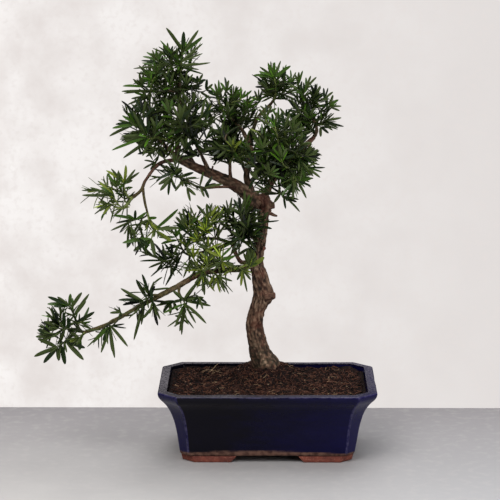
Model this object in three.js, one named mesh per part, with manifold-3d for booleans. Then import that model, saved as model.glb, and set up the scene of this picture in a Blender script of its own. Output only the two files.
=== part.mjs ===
// A podocarpus bonsai with a trailing branch, rooted in a glazed pot with cut corners.
// Millimetres, +Z up. The plant is laid out round the middle of the pot, with the ground just below z = 0, and
// the whole group is moved at the end so that the origin is at the middle of the bottom of its bounding box.
import * as THREE from "three";
import { mergeVertices } from "three/addons/utils/BufferGeometryUtils.js";
import Module from "manifold-3d";

const wasm = await Module();
wasm.setup();

// ---------------------------------------------------------------- driving dimensions

const GAP = 0.3; // air between two pieces that rest on each other
const PROUD = 5; // how far a cutting block runs past what it cuts

const POT = {
  underside: 4.5,
  height: 90,
  wall: 12,
  floor: 15,
  depthLoss: 45, // the pot is this much less from its middle to its front than to its side
  side: [[111, 4.5], [113.3, 11], [115.4, 26], [118, 41], [121.5, 54], [125.3, 64], [129, 72], [137, 77],
    [140, 80], [140, 90]], // half width and height, up the outer wall to the rim
  cornerCut: [10.5, 24], // leg of the cut corner at the underside and at the rim
};

const FOOT = { ground: -4, inner: 39, outer: 110.5, slope: 7.5, depth: 40, front: 65.7, cornerCut: 16 };

const SOIL = {
  edge: 82,
  mound: { x: -2, y: 35, top: 97, flat: 23, spread: 36, foot: 8, fade: 1, rings: 4, sides: 12 },
};

const TRUNK = {
  sides: 9,
  steps: 20,
  flare: { lobes: 3, depth: 0.16, height: 0.16, turn: 0.6 }, // root ridges, to a share of the trunk's length
  route: [[-2, 35, 97.3], [-11, 30, 125], [-17, 25, 153], [-13, 20, 179], [-7, 16, 200], [-10, 13, 223],
    [-13, 12, 239], [-9, 12, 271], [-6, 12, 290], [-7, 12, 314], [-10, 12, 330]],
  radius: [18.4, 12.3, 10.8, 10.4, 10.4, 9.9, 8.8, 6.7, 6.4, 7.2, 8],
  knobFacets: [7, 5],
  // Healed stubs of pruned branches: centre and half sizes along x, y and z.
  knobs: [
    { at: [1, 14, 199], size: [10, 8, 9] },
    { at: [0, 8, 312], size: [9, 8, 7] },
    { at: [-9, 8, 331], size: [11, 9, 8] },
    { at: [-14, 24, 262], size: [5, 6, 5] },
  ],
};

const BOUGH = { sides: 5, step: 17, spineStep: 6 };

// Each bough is one tapering limb: the points that it passes through, and its radius at both ends.
const BOUGHS = [
  { name: "left_bough", radius: [7.2, 4],
    route: [[-12, 12, 318], [-35.5, 8, 339], [-61, 5, 353.3], [-87, 1, 364.8], [-117, -4, 380]] },
  { name: "upright_bough", radius: [4.4, 2.6],
    route: [[-12, 13, 316], [-27, 17, 350], [-21, 20, 384], [-30, 18, 408]] },
  { name: "right_bough", radius: [5, 2.4],
    route: [[-8, 12, 320], [7, 8, 350], [28, 4, 376], [53, 2, 400], [60, 1, 408]] },
  { name: "right_back_bough", radius: [3.2, 2.2], route: [[-8, 14, 324], [4, 28, 345], [14, 38, 356]] },
  { name: "middle_back_bough", radius: [3.2, 2.2], route: [[-14, 15, 318], [-24, 34, 345], [-32, 44, 362]] },
  { name: "apex_bough", radius: [3.3, 2.3],
    route: [[-115, -4, 379], [-115, -2, 402], [-113, 1, 430], [-112, 2, 460]] },
  { name: "left_side_bough", radius: [2.7, 2], route: [[-106, -3, 375], [-126, -11, 392], [-138, -14, 407]] },
  { name: "left_inner_bough", radius: [2.6, 2], route: [[-74, 3, 359.5], [-84, -9, 384], [-91, -15, 400]] },
  { name: "left_back_bough", radius: [2.6, 2], route: [[-92, 1, 368], [-104, 18, 386], [-113, 32, 402]] },
  { name: "centre_low_bough", radius: [2.4, 1.9], route: [[-47, 6, 347], [-48, 0, 361], [-48, -4, 372]] },
  { name: "under_bough", radius: [2, 1.6],
    route: [[-29, 9, 332], [-43, 0, 341], [-60, -10, 343.5], [-82, -18, 343]] },
  { name: "pendant_bough", radius: [2.5, 1.9],
    route: [[-113, -4, 378], [-137, -16, 374.5], [-154, -24, 355], [-160, -26, 342], [-172, -28, 332]] },
  { name: "pendant_low_bough", radius: [1.7, 1.4],
    route: [[-158, -26, 344], [-156, -26, 328], [-152, -27, 311]] },
  { name: "top_right_bough", radius: [2.7, 1.9], route: [[-24, 19, 396], [-13, 17, 428], [3, 14, 446]] },
  { name: "right_front_bough", radius: [2.9, 2.1], route: [[12, 7, 357], [16, -6, 366], [16, -17, 373]] },
  { name: "cascade_bough", radius: [5.2, 1.9],
    route: [[-10, 12, 240], [-38, 0, 235], [-83, -18, 233], [-118, -27, 216], [-169, -30, 189],
      [-204, -30, 169], [-234, -30, 158]] },
  { name: "loop_bough", radius: [3.3, 2],
    route: [[-14, 11, 247], [-32, 4, 243], [-40, 1, 253], [-46, -1, 268], [-62, -5, 275]] },
  { name: "trunk_spray_bough", radius: [2.5, 1.9], route: [[-10, 12, 266], [-18, 0, 276], [-25, -8, 285]] },
  { name: "pad_left_bough", radius: [2.2, 1.7], route: [[-48, -1, 270], [-68, -8, 263], [-100, -10, 255]] },
  { name: "pad_low_bough", radius: [2.3, 1.8], route: [[-50, -5, 234], [-57, -14, 239], [-61, -20, 246]] },
  { name: "cascade_near_bough", radius: [1.9, 1.5],
    route: [[-112, -26, 219], [-113, -30, 211], [-109, -33, 203]] },
  { name: "cascade_mid_bough", radius: [1.9, 1.6],
    route: [[-138, -30, 206], [-144, -34, 208], [-150, -37, 207]] },
  { name: "cascade_outer_bough", radius: [1.7, 1.4],
    route: [[-192, -30, 176], [-199, -33, 174], [-204, -35, 170]] },
];

const LEAF = {
  length: 36,
  width: 10.5,
  thickness: 1.5,
  widest: 0.44, // where the blade is widest, as a share of its length
  sink: 0.5, // of the root inside its twig
  size: [0.86, 1.12], // smallest and largest, as shares of the length and width above
  tipSize: 0.8, // of the leaf that ends a shoot
  roll: 25, // most degrees round its own midrib, either way
  tilt: 7, // most degrees off its place in the spread, either way
  margin: 0.5, // kept to the edge of the mass's space
};
const TWIG = {
  sides: 3,
  tip: 1.8, // radius at the end of every twig
  root: 0.6, // radius where a twig leaves its parent, as a share of the parent's
  stagger: 0.4, // between the starts of twigs that leave the same place
  step: 22,
  clear: 0.6, // kept between a mass and every limb that isn't its own
  neck: 0.95, // radius of a mass's stem, as a share of its bough's tip
  later: 0.93, // each later twig from the same place has this share of the radius of the one before
  parents: 8, // places tried for each shoot, the nearest first
  lead: 0.4, // share of its span over which a twig keeps its parent's direction
  sag: 0.06, // how far that stretch sinks, as a share of the span
};
const SHOOT = {
  leafy: 28, // length of a shoot's end that carries leaves
  leaves: 7,
  turn: 137.508, // degrees from one leaf to the next round the shoot
  spread: [24, 82], // degrees between a leaf and its shoot, at the tip and where the leaves begin
  apart: 1, // share of their half widths that two leaves keep between their midribs
  air: 0.4, // kept between two leaves besides
  leafyShare: 0.85, // most of a short shoot that carries leaves
  endInset: 0.5, // from a shoot's end to its last leaf
  // Where a leaf has no room it tries another turn round the shoot, or lies closer to it.
  tries: [[0, 1], [50, 1], [-50, 1], [0, 0.6], [100, 1], [-100, 1], [60, 0.6], [-60, 0.6], [180, 0.8],
    [25, 1.2], [-25, 1.2], [130, 0.7], [-130, 0.7], [0, 0.35], [120, 0.35], [-120, 0.35]],
  detour: 0.3, // how far the way back to the bough counts when a shoot looks for a place to branch from
  inset: 13, // a shoot ends this far inside its mass's space, so that its leaves have room
};

// A mass of foliage keeps to the half-axes of its reach round its heart, and to its own side of the planes
// between it and its neighbours. Its first shoots end at the leaders, and the rest are spread evenly.
const MASSES = [
  { name: "apex_foliage", bough: "apex_bough", heart: [-124, 2, 494], reach: [54, 50, 58], shoots: 8,
    leaders: [[-106, -6, 519], [-143, -16, 490], [-152, -6, 472], [-112, -24, 478]] },
  { name: "left_shoulder_foliage", bough: "left_side_bough", heart: [-160, -14, 422], reach: [50, 48, 53],
    shoots: 5, leaders: [[-166, -24, 421], [-172, -6, 447], [-146, -30, 398]] },
  { name: "left_heart_foliage", bough: "left_inner_bough", heart: [-103, -24, 431], reach: [46, 46, 50],
    shoots: 5, leaders: [[-100, -40, 453], [-118, -44, 424], [-82, -34, 420]] },
  { name: "left_back_foliage", bough: "left_back_bough", heart: [-124, 50, 432], reach: [54, 46, 60],
    shoots: 6, leaders: [] },
  { name: "under_foliage", bough: "under_bough", heart: [-111, -34, 362], reach: [52, 38, 36], shoots: 4,
    leaders: [[-100, -42, 346], [-128, -46, 370]] },
  { name: "pendant_foliage", bough: "pendant_bough", heart: [-194, -30, 339], reach: [50, 37, 43], shoots: 4,
    leaders: [[-184, -30, 355], [-206, -36, 338], [-194, -25, 321]] },
  { name: "pendant_low_foliage", bough: "pendant_low_bough", heart: [-160, -32, 287], reach: [52, 36, 38],
    shoots: 4, leaders: [[-144, -32, 284], [-178, -36, 297]] },
  { name: "centre_top_foliage", bough: "upright_bough", heart: [-48, 14, 438], reach: [46, 50, 46], shoots: 6,
    leaders: [[-54, 6, 456], [-34, -14, 440]] },
  { name: "middle_back_foliage", bough: "middle_back_bough", heart: [-38, 60, 398], reach: [52, 42, 54],
    shoots: 4, leaders: [] },
  { name: "right_top_foliage", bough: "top_right_bough", heart: [14, 8, 468], reach: [43, 42, 40], shoots: 4,
    leaders: [[4, 6, 483], [34, 8, 466], [-8, -4, 452]] },
  { name: "right_side_foliage", bough: "right_bough", heart: [56, 0, 444], reach: [44, 46, 46], shoots: 6,
    leaders: [[66, -6, 442], [50, -10, 464], [40, -14, 440]] },
  { name: "right_front_foliage", bough: "right_front_bough", heart: [13, -38, 385], reach: [62, 48, 61],
    shoots: 8, leaders: [[42, -34, 362], [54, -30, 394], [20, -54, 410], [0, -34, 418], [-6, -50, 368]] },
  { name: "right_back_foliage", bough: "right_back_bough", heart: [28, 58, 384], reach: [60, 44, 60],
    shoots: 7, leaders: [] },
  { name: "centre_low_foliage", bough: "centre_low_bough", heart: [-54, -12, 397], reach: [41, 46, 40],
    shoots: 4, leaders: [[-58, -22, 410], [-40, -28, 390]] },
  { name: "trunk_foliage", bough: "trunk_spray_bough", heart: [-34, -22, 300], reach: [38, 42, 48], shoots: 5,
    leaders: [[-27, -30, 314], [-46, -26, 292]] },
  { name: "pad_top_foliage", bough: "loop_bough", heart: [-86, -12, 298], reach: [47, 46, 42], shoots: 4,
    leaders: [[-104, -16, 304], [-74, -34, 292]] },
  { name: "pad_low_foliage", bough: "pad_low_bough", heart: [-66, -26, 241], reach: [50, 46, 44], shoots: 7,
    leaders: [[-58, -36, 256], [-84, -34, 232], [-56, -30, 222], [-38, -38, 244]] },
  { name: "pad_left_foliage", bough: "pad_left_bough", heart: [-128, -10, 250], reach: [49, 42, 40], shoots: 4,
    leaders: [[-120, -16, 241], [-104, -26, 256]] },
  { name: "cascade_near_foliage", bough: "cascade_near_bough", heart: [-106, -37, 193], reach: [46, 38, 41],
    shoots: 1, leaders: [[-107, -38, 192]] },
  { name: "cascade_mid_foliage", bough: "cascade_mid_bough", heart: [-160, -38, 202], reach: [42, 36, 46],
    shoots: 2, leaders: [[-158, -42, 206], [-176, -38, 186]] },
  { name: "cascade_outer_foliage", bough: "cascade_outer_bough", heart: [-206, -36, 164], reach: [34, 32, 38],
    shoots: 1, leaders: [[-212, -40, 156]] },
  { name: "cascade_tip_foliage", bough: "cascade_bough", heart: [-261, -30, 164], reach: [46, 38, 53],
    shoots: 6, leaders: [[-271, -34, 163], [-255, -28, 190], [-266, -30, 139]] },
];

const FINISHES = {
  glaze: { color: 0x15132a, roughness: 0.18, metalness: 0 },
  clay: { color: 0x75392f, roughness: 0.85, metalness: 0 },
  soil: { color: 0x2b1c19, roughness: 0.95, metalness: 0 },
  bark: { color: 0x50392f, roughness: 0.9, metalness: 0 },
  leaf: { color: 0x2c3b1c, roughness: 0.45, metalness: 0 },
};

// ---------------------------------------------------------------- helpers

const vector = ([x, y, z]) => new THREE.Vector3(x, y, z);
const mix = THREE.MathUtils.lerp;

// Pseudo-random numbers from 0 to 1, the same on every run.
class Dice {
  constructor(seed) {
    this.state = seed;
  }

  roll() {
    this.state = (this.state * 1664525 + 1013904223) % 4294967296;
    return this.state / 4294967296;
  }

  between(low, high) {
    return mix(low, high, this.roll());
  }
}

// A closed geometry as a solid that can be cut and joined.
function solid(geometry) {
  const bare = new THREE.BufferGeometry();
  bare.setAttribute("position", geometry.getAttribute("position"));
  bare.setIndex(geometry.index);
  const merged = mergeVertices(bare, 1e-4);
  const corners = merged.index.array;
  const faces = [];
  for (let i = 0; i < corners.length; i += 3) {
    const [a, b, c] = corners.slice(i, i + 3);
    if (a !== b && b !== c && c !== a) faces.push(a, b, c);
  }
  const vertProperties = merged.attributes.position.array;
  const make = (triVerts) => new wasm.Manifold(new wasm.Mesh({ numProp: 3, vertProperties, triVerts }));
  const made = make(new Uint32Array(faces));
  return made.volume() > 0 ? made : make(new Uint32Array(faces).reverse());
}

// The largest body of a solid, without loose scraps and sealed hollows.
function largestBody(shape) {
  return shape.decompose().reduce((best, body) => (body.volume() > best.volume() ? body : best));
}

function namedMesh(name, shape, finish) {
  const { vertProperties, triVerts } = largestBody(shape).getMesh();
  const geometry = new THREE.BufferGeometry();
  geometry.setAttribute("position", new THREE.BufferAttribute(vertProperties, 3));
  geometry.setIndex(new THREE.BufferAttribute(triVerts, 1));
  geometry.computeVertexNormals();
  const mesh = new THREE.Mesh(geometry, new THREE.MeshStandardMaterial(FINISHES[finish]));
  mesh.name = name;
  return mesh;
}

// ---------------------------------------------------------------- pot and soil

// Leg of the cut corner of the pot's outer wall where that wall has a half width.
function cornerCut(halfWidth) {
  const [low, high] = POT.cornerCut;
  const [narrow, wide] = [POT.side[0][0], POT.side.at(-1)[0]];
  return mix(low, high, (halfWidth - narrow) / (wide - narrow));
}

// A block with a rectangular plan and cut corners, from a profile of half widths and heights. The profile
// lies a wall's thickness inside the outer wall, measured square to every side.
function cutCornerBlock(profile, inside = 0) {
  const points = profile.map(([halfWidth, z]) => new THREE.Vector2(halfWidth, z));
  const geometry = new THREE.LatheGeometry(points, 8, Math.PI / 8).rotateX(Math.PI / 2);
  const at = geometry.attributes.position;
  for (let i = 0; i < at.count; i += 1) {
    const [x, y] = [at.getX(i), at.getY(i)];
    const halfWidth = Math.hypot(x, y);
    if (halfWidth < 1) continue;
    const halfDepth = halfWidth - POT.depthLoss;
    const cut = cornerCut(halfWidth + inside) - (2 - Math.SQRT2) * inside;
    const onSide = Math.abs(x) > Math.abs(y);
    at.setX(i, Math.sign(x) * (onSide ? halfWidth : halfWidth - cut));
    at.setY(i, Math.sign(y) * (onSide ? halfDepth - cut : halfDepth));
  }
  return solid(geometry);
}

// The inner face of the pot's wall, from the floor up to a height, moved inwards by a clearance.
function innerProfile(top, clearance) {
  const inner = POT.side.map(([halfWidth, z]) => [halfWidth - POT.wall - clearance, z]);
  const above = inner.filter(([, z]) => z > POT.floor + clearance && z < top);
  const widthAt = (height) => {
    const next = inner.findIndex(([, z]) => z >= height);
    const [[w0, z0], [w1, z1]] = [inner[next - 1], inner[next]];
    return mix(w0, w1, (height - z0) / (z1 - z0));
  };
  const bottom = POT.floor + clearance;
  return [[0, bottom], [widthAt(bottom), bottom], ...above, [widthAt(top), top]];
}

function makePot() {
  const outer = cutCornerBlock([[0, POT.underside], ...POT.side, [0, POT.height]]);
  const hollow = innerProfile(POT.height, 0);
  const above = POT.height + PROUD;
  const mouth = cutCornerBlock([...hollow, [hollow.at(-1)[0], above], [0, above]], POT.wall);
  return outer.subtract(mouth);
}

function makeFoot(sideX, sideY) {
  const outline = new THREE.Shape([
    new THREE.Vector2(FOOT.inner, POT.underside - GAP),
    new THREE.Vector2(FOOT.inner + FOOT.slope, FOOT.ground),
    new THREE.Vector2(FOOT.outer - FOOT.slope / 4, FOOT.ground),
    new THREE.Vector2(FOOT.outer, POT.underside - GAP),
  ]);
  const block = new THREE.ExtrudeGeometry(outline, { depth: FOOT.depth, bevelEnabled: false, steps: 1 });
  block.rotateX(Math.PI / 2).translate(0, FOOT.front, 0);
  const reach = 60;
  const cutter = new THREE.BoxGeometry(reach, reach, reach).rotateZ(Math.PI / 4);
  const offset = reach / 2 / Math.SQRT2 - FOOT.cornerCut / 2;
  cutter.translate(FOOT.outer + offset, FOOT.front + offset, 0);
  const foot = solid(block).subtract(solid(cutter));
  return foot.scale([sideX, sideY, 1]);
}

function makeSoil() {
  const { x, y, top, flat, spread, foot, fade, rings, sides } = SOIL.mound;
  const surface = innerProfile(SOIL.edge, GAP);
  const bed = cutCornerBlock([...surface, [0, SOIL.edge]], POT.wall + GAP);
  const base = SOIL.edge - foot;
  const slope = [new THREE.Vector2(0, base), new THREE.Vector2(flat + spread, base)];
  for (let i = 0; i <= rings; i += 1) {
    const fall = (1 - Math.cos((Math.PI * (rings - i)) / rings)) / 2;
    const radius = flat + (spread * (rings - i)) / rings;
    slope.push(new THREE.Vector2(radius, mix(top, SOIL.edge - fade, fall)));
  }
  slope.push(new THREE.Vector2(0, top));
  const mound = new THREE.LatheGeometry(slope, sides).rotateX(Math.PI / 2).translate(x, y, 0);
  const room = cutCornerBlock([...surface, [surface.at(-1)[0], top], [0, top]], POT.wall + GAP);
  return bed.add(solid(mound).intersect(room));
}

// ---------------------------------------------------------------- limbs

// A limb is a curve with a radius all along it. Trunks give a radius for each point of the route, boughs one
// for each end.
class Limb {
  constructor({ name, route, radius }) {
    this.name = name;
    this.curve = new THREE.CatmullRomCurve3(route.map(vector), false, "catmullrom", 0.5);
    this.length = this.curve.getLength();
    this.radii = radius;
  }

  radiusAt(share) {
    const place = this.curve.getUtoTmapping(share) * (this.radii.length - 1);
    const i = Math.min(Math.floor(place), this.radii.length - 2);
    return mix(this.radii[i], this.radii[i + 1], place - i);
  }

  // Points of the centre line with their radii, for keeping clear of it.
  spine(count) {
    return Array.from({ length: count + 1 }, (_, i) => ({
      point: this.curve.getPointAt(i / count),
      radius: this.radiusAt(i / count),
    }));
  }
}

// The round skin of a limb: a cylinder bent along its curve. grow thickens it all round and at both ends, and
// swell(share, angle) scales the radius where the limb is not round.
function sweep(limb, { sides, steps, grow = 0, swell = () => 1 }) {
  const geometry = new THREE.CylinderGeometry(1, 1, 1, sides, steps);
  const frames = limb.curve.computeFrenetFrames(steps);
  const at = geometry.attributes.position;
  for (let i = 0; i < at.count; i += 1) {
    const row = Math.round((at.getY(i) + 0.5) * steps);
    const share = row / steps;
    const radius = (limb.radiusAt(share) + grow) * swell(share, Math.atan2(at.getZ(i), at.getX(i)));
    const point = limb.curve.getPointAt(share);
    point.addScaledVector(frames.normals[row], at.getZ(i) * radius);
    point.addScaledVector(frames.binormals[row], at.getX(i) * radius);
    if (row === 0) point.addScaledVector(frames.tangents[0], -grow);
    if (row === steps) point.addScaledVector(frames.tangents[steps], grow);
    at.setXYZ(i, point.x, point.y, point.z);
  }
  return solid(geometry);
}

function makeTrunk(limb, grow = 0) {
  const { sides, steps, flare, knobs, knobFacets, route } = TRUNK;
  const swell = (share, angle) => {
    const ridge = Math.max(0, 1 - share / flare.height);
    return 1 + flare.depth * ridge * Math.cos(flare.lobes * angle + flare.turn);
  };
  const stem = sweep(limb, { sides, steps, grow, swell });
  const bumps = knobs.map(({ at, size }) => {
    const [a, b, c] = size.map((half) => half + grow);
    return solid(new THREE.SphereGeometry(1, ...knobFacets).scale(a, b, c).translate(...at));
  });
  const room = 400;
  const above = new THREE.BoxGeometry(room, room, room).translate(0, 0, route[0][2] - grow + room / 2);
  return wasm.Manifold.union([stem, ...bumps]).intersect(solid(above));
}

// ---------------------------------------------------------------- foliage

// The mean half-axis sets how far the plane between two neighbouring masses lies from each of them.
const meanReach = ({ reach: [a, b, c] }) => Math.cbrt(a * b * c);

// The space that a mass keeps to, as a test that asks for a margin to its edges.
function spaceOf(mass) {
  const heart = vector(mass.heart);
  const planes = MASSES.filter((other) => other !== mass).map((other) => {
    const away = vector(other.heart).sub(heart);
    const distance = away.length();
    const share = (distance ** 2 + meanReach(mass) ** 2 - meanReach(other) ** 2) / (2 * distance);
    return { normal: away.normalize(), offset: share };
  });
  return (point, margin) => {
    const local = point.clone().sub(heart);
    const [a, b, c] = mass.reach.map((half) => half - margin);
    const within = (local.x / a) ** 2 + (local.y / b) ** 2 + (local.z / c) ** 2 < 1;
    return within && planes.every(({ normal, offset }) => local.dot(normal) < offset - margin);
  };
}

// Three irrational steps, which spread any number of points evenly through a cube, and how far apart the
// masses start.
const STEPS = [0.8191725134, 0.6710436067, 0.5497004779];
const START = 0.37;
const CANDIDATES = 12;

// No twig runs along this direction, so it gives each of them a side to count turns from.
const SKEW = new THREE.Vector3(0.31, 0.17, 0.93);

// The ends of a mass's shoots: its leaders, and then, one by one, the evenly spread point that lies farthest
// from the ends before it.
function shootEnds(mass, inside) {
  const ends = mass.leaders.map(vector);
  const seed = MASSES.indexOf(mass) + 1;
  let drawn = 0;
  const draw = () => {
    for (;;) {
      drawn += 1;
      const [x, y, z] = STEPS.map((step, axis) => {
        const share = (seed * START * (axis + 1) + drawn * step) % 1;
        return mass.heart[axis] + mass.reach[axis] * (2 * share - 1);
      });
      const point = new THREE.Vector3(x, y, z);
      if (inside(point, SHOOT.inset)) return point;
    }
  };
  while (ends.length < mass.shoots) {
    const crowding = (point) => Math.min(...ends.map((end) => end.distanceTo(point)));
    const drawnPoints = Array.from({ length: CANDIDATES }, draw);
    ends.push(drawnPoints.reduce((best, point) => (crowding(point) > crowding(best) ? point : best)));
  }
  return ends;
}

// Whether a body from a to b, with a radius at each share of the way, stays clear of every limb.
function clearOfLimbs(a, b, radiusAt, spines, except) {
  const samples = 7;
  const segment = new THREE.Line3();
  const near = new THREE.Vector3();
  for (const { name, points } of spines) {
    if (name === except) continue;
    for (let s = 0; s <= samples; s += 1) {
      const point = a.clone().lerp(b, s / samples);
      const radius = radiusAt(s / samples);
      for (let i = 1; i < points.length; i += 1) {
        segment.set(points[i - 1].point, points[i].point).closestPointToPoint(point, true, near);
        const thick = Math.max(points[i - 1].radius, points[i].radius);
        if (near.distanceTo(point) < thick + radius + TWIG.clear) return false;
      }
    }
  }
  return true;
}

// Branches from a bough's tip: each new shoot leaves the place on what has grown so far that is nearest to
// its end, with the way back to the bough counted too, and bends up into its own direction.
function growTwigs(mass, limb, inside, spines) {
  const heading = limb.curve.getTangentAt(1);
  const start = limb.curve.getPointAt(1).addScaledVector(heading, GAP);
  const grown = [{ point: start, heading, way: 0, radius: limb.radiusAt(1) * TWIG.neck, children: 0 }];
  const twigs = [];
  for (const end of shootEnds(mass, inside)) {
    const cost = (place) => place.point.distanceTo(end) + SHOOT.detour * place.way;
    const nearest = [...grown].sort((a, b) => cost(a) - cost(b)).slice(0, TWIG.parents);
    const made = nearest.map((from) => makeTwig(from, end)).find(({ from, points }) =>
      points.every((point, i) => {
        const own = i <= 1 && from.way < TWIG.step / 2 ? limb.name : null;
        const before = points[Math.max(i - 1, 0)];
        return inside(point, TWIG.tip) && clearOfLimbs(before, point, () => TWIG.tip, spines, own);
      }),
    );
    if (!made) continue;
    made.from.children += 1;
    twigs.push(made);
    for (let i = 1; i < made.steps; i += 1) {
      const share = i / made.steps;
      grown.push({
        point: made.curve.getPointAt(share),
        heading: made.curve.getTangentAt(share),
        way: made.from.way + share * made.length,
        radius: mix(made.radii[0], made.radii[1], share),
        children: 0,
      });
    }
  }
  return twigs;
}

// One twig from a place on what has grown to its end. It sets off in its parent's direction and ends rising.
// Twigs that leave the same place start one after another along it, each inside the one before.
function makeTwig(from, end) {
  const start = from.point.clone().addScaledVector(from.heading, TWIG.stagger * from.children);
  const span = start.distanceTo(end);
  const bend = start.clone().addScaledVector(from.heading, TWIG.lead * span);
  bend.z -= TWIG.sag * span;
  const curve = new THREE.QuadraticBezierCurve3(start, bend, end);
  const steps = Math.max(2, Math.round(span / TWIG.step));
  const isStem = from.way === 0 && from.children === 0;
  const thinner = isStem ? 1 : TWIG.root * TWIG.later ** from.children;
  const radii = [from.radius * thinner, TWIG.tip];
  return { from, curve, steps, radii, points: curve.getSpacedPoints(steps), length: curve.getLength() };
}

// A leaf of eight faces: root, tip, two edges, a ridge above and a keel below.
function leafSolid({ root, along, across, length, width }) {
  const geometry = new THREE.OctahedronGeometry(1);
  const at = geometry.attributes.position;
  const middle = 2 * LEAF.widest - 1;
  for (let i = 0; i < at.count; i += 1) if (Math.abs(at.getY(i)) < 0.5) at.setY(i, middle);
  const normal = new THREE.Vector3().crossVectors(across, along);
  const basis = new THREE.Matrix4().makeBasis(
    across.clone().multiplyScalar(width / 2),
    along.clone().multiplyScalar(length / 2),
    normal.multiplyScalar(LEAF.thickness / 2),
  );
  basis.setPosition(root.clone().addScaledVector(along, length / 2));
  return solid(geometry.applyMatrix4(basis));
}

// A leaf's half width at a share of its length.
function halfWidthAt(share, width) {
  return (width / 2) * (share < LEAF.widest ? share / LEAF.widest : (1 - share) / (1 - LEAF.widest));
}

// Places along a leaf's midrib, away from its root, with the blade's half width there.
function midrib({ root, along, length, width }) {
  const samples = 6;
  const first = 0.2;
  return Array.from({ length: samples }, (_, i) => {
    const share = mix(first, 1, i / (samples - 1));
    return { point: root.clone().addScaledVector(along, share * length), half: halfWidthAt(share, width) };
  });
}

function crosses(leaf, others) {
  const mine = midrib(leaf);
  return others.some((ribs) =>
    ribs.some((b) =>
      mine.some((a) => a.point.distanceTo(b.point) < SHOOT.apart * (a.half + b.half) + SHOOT.air),
    ),
  );
}

// A place on the straight stretches of a twig, and its direction there.
function placeOn({ points, steps }, share) {
  const stretch = Math.min(Math.floor(share * steps), steps - 1);
  const [from, to] = [points[stretch], points[stretch + 1]];
  return { point: from.clone().lerp(to, share * steps - stretch), axis: to.clone().sub(from).normalize() };
}

// The leaves of one shoot, in a spiral from its tip back, each kept only where it has room among the ribs of
// the leaves before it.
function growLeaves(twig, dice, ribs, inside, spines) {
  const leaves = [];
  const leafy = Math.min(SHOOT.leafy, twig.length * SHOOT.leafyShare);
  const phase = dice.between(0, 360);
  for (let k = 0; k < SHOOT.leaves; k += 1) {
    const back = k / (SHOOT.leaves - 1);
    const share = 1 - (back * leafy + SHOOT.endInset) / twig.length;
    const { point: place, axis } = placeOn(twig, share);
    const size = dice.between(...LEAF.size) * (k === 0 ? LEAF.tipSize : 1);
    const roll = THREE.MathUtils.degToRad(dice.between(-LEAF.roll, LEAF.roll));
    const lean = mix(...SHOOT.spread, Math.sqrt(back)) + dice.between(-LEAF.tilt, LEAF.tilt);
    const side = SKEW.clone().cross(axis).normalize();
    for (const [shift, closeness] of SHOOT.tries) {
      const turn = THREE.MathUtils.degToRad(phase + k * SHOOT.turn + shift);
      const outward = side.clone().applyAxisAngle(axis, turn);
      const along = axis.clone().applyAxisAngle(
        new THREE.Vector3().crossVectors(axis, outward).normalize(),
        THREE.MathUtils.degToRad(lean * closeness),
      );
      const across = new THREE.Vector3().crossVectors(along, axis).normalize().applyAxisAngle(along, roll);
      const [length, width] = [LEAF.length * size, LEAF.width * size];
      const root = place.clone().addScaledVector(along, -LEAF.sink);
      const tip = root.clone().addScaledVector(along, length);
      const waist = root.clone().lerp(tip, LEAF.widest);
      const edges = [-1, 1].map((hand) => waist.clone().addScaledVector(across, (hand * width) / 2));
      const leaf = { root, along, across, length, width };
      const kept = [tip, ...edges].every((point) => inside(point, LEAF.margin)) && !crosses(leaf, ribs);
      if (kept && clearOfLimbs(root, tip, (share) => halfWidthAt(share, width), spines, null)) {
        leaves.push(leaf);
        ribs.push(midrib(leaf));
        break;
      }
    }
  }
  return leaves;
}

function twigSolid({ curve, steps, radii }) {
  const limb = { curve, radiusAt: (share) => mix(radii[0], radii[1], share) };
  return sweep(limb, { sides: TWIG.sides, steps });
}

function makeMass(mass, limbs, spines) {
  const inside = spaceOf(mass);
  const limb = limbs.find(({ name }) => name === mass.bough);
  const dice = new Dice(MASSES.indexOf(mass) + 11);
  const twigs = growTwigs(mass, limb, inside, spines);
  const ribs = [];
  const leaves = twigs.flatMap((twig) => growLeaves(twig, dice, ribs, inside, spines));
  return wasm.Manifold.union([...twigs.map(twigSolid), ...leaves.map(leafSolid)]);
}

// ---------------------------------------------------------------- assembly

const plant = new THREE.Group();

plant.add(namedMesh("pot", makePot(), "glaze"));
for (const [end, sideY] of [["front", -1], ["back", 1]]) {
  for (const [hand, sideX] of [["left", -1], ["right", 1]]) {
    plant.add(namedMesh(`pot_foot_${end}_${hand}`, makeFoot(sideX, sideY), "clay"));
  }
}
plant.add(namedMesh("soil", makeSoil(), "soil"));

const trunk = new Limb({ name: "trunk", ...TRUNK });
plant.add(namedMesh("trunk", makeTrunk(trunk), "bark"));

// Every bough is cut clear of the trunk and of the boughs before it.
const boughs = BOUGHS.map((bough) => new Limb(bough));
const cutters = [makeTrunk(trunk, GAP)];
for (const bough of boughs) {
  const steps = Math.max(3, Math.round(bough.length / BOUGH.step));
  const shape = sweep(bough, { sides: BOUGH.sides, steps });
  plant.add(namedMesh(bough.name, shape.subtract(wasm.Manifold.union(cutters)), "bark"));
  cutters.push(sweep(bough, { sides: BOUGH.sides, steps, grow: GAP }));
}

const limbs = [trunk, ...boughs];
const spines = limbs.map((limb) => {
  return { name: limb.name, points: limb.spine(Math.round(limb.length / BOUGH.spineStep)) };
});
for (const mass of MASSES) plant.add(namedMesh(mass.name, makeMass(mass, limbs, spines), "leaf"));

// The origin goes to the middle of the bottom of the bounding box.
const bounds = new THREE.Box3().setFromObject(plant);
const middle = bounds.getCenter(new THREE.Vector3());
plant.position.set(-middle.x, -middle.y, -bounds.min.z);

export default plant;
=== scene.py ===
"""The looks of a podocarpus bonsai in a glazed pot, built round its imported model.

Sizes are in millimetres and laid out round the middle of the pot, with +Z up and the table just below height 0.
A piece is turned into metres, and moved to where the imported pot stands, when its mesh is made.
"""

from __future__ import annotations

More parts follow.
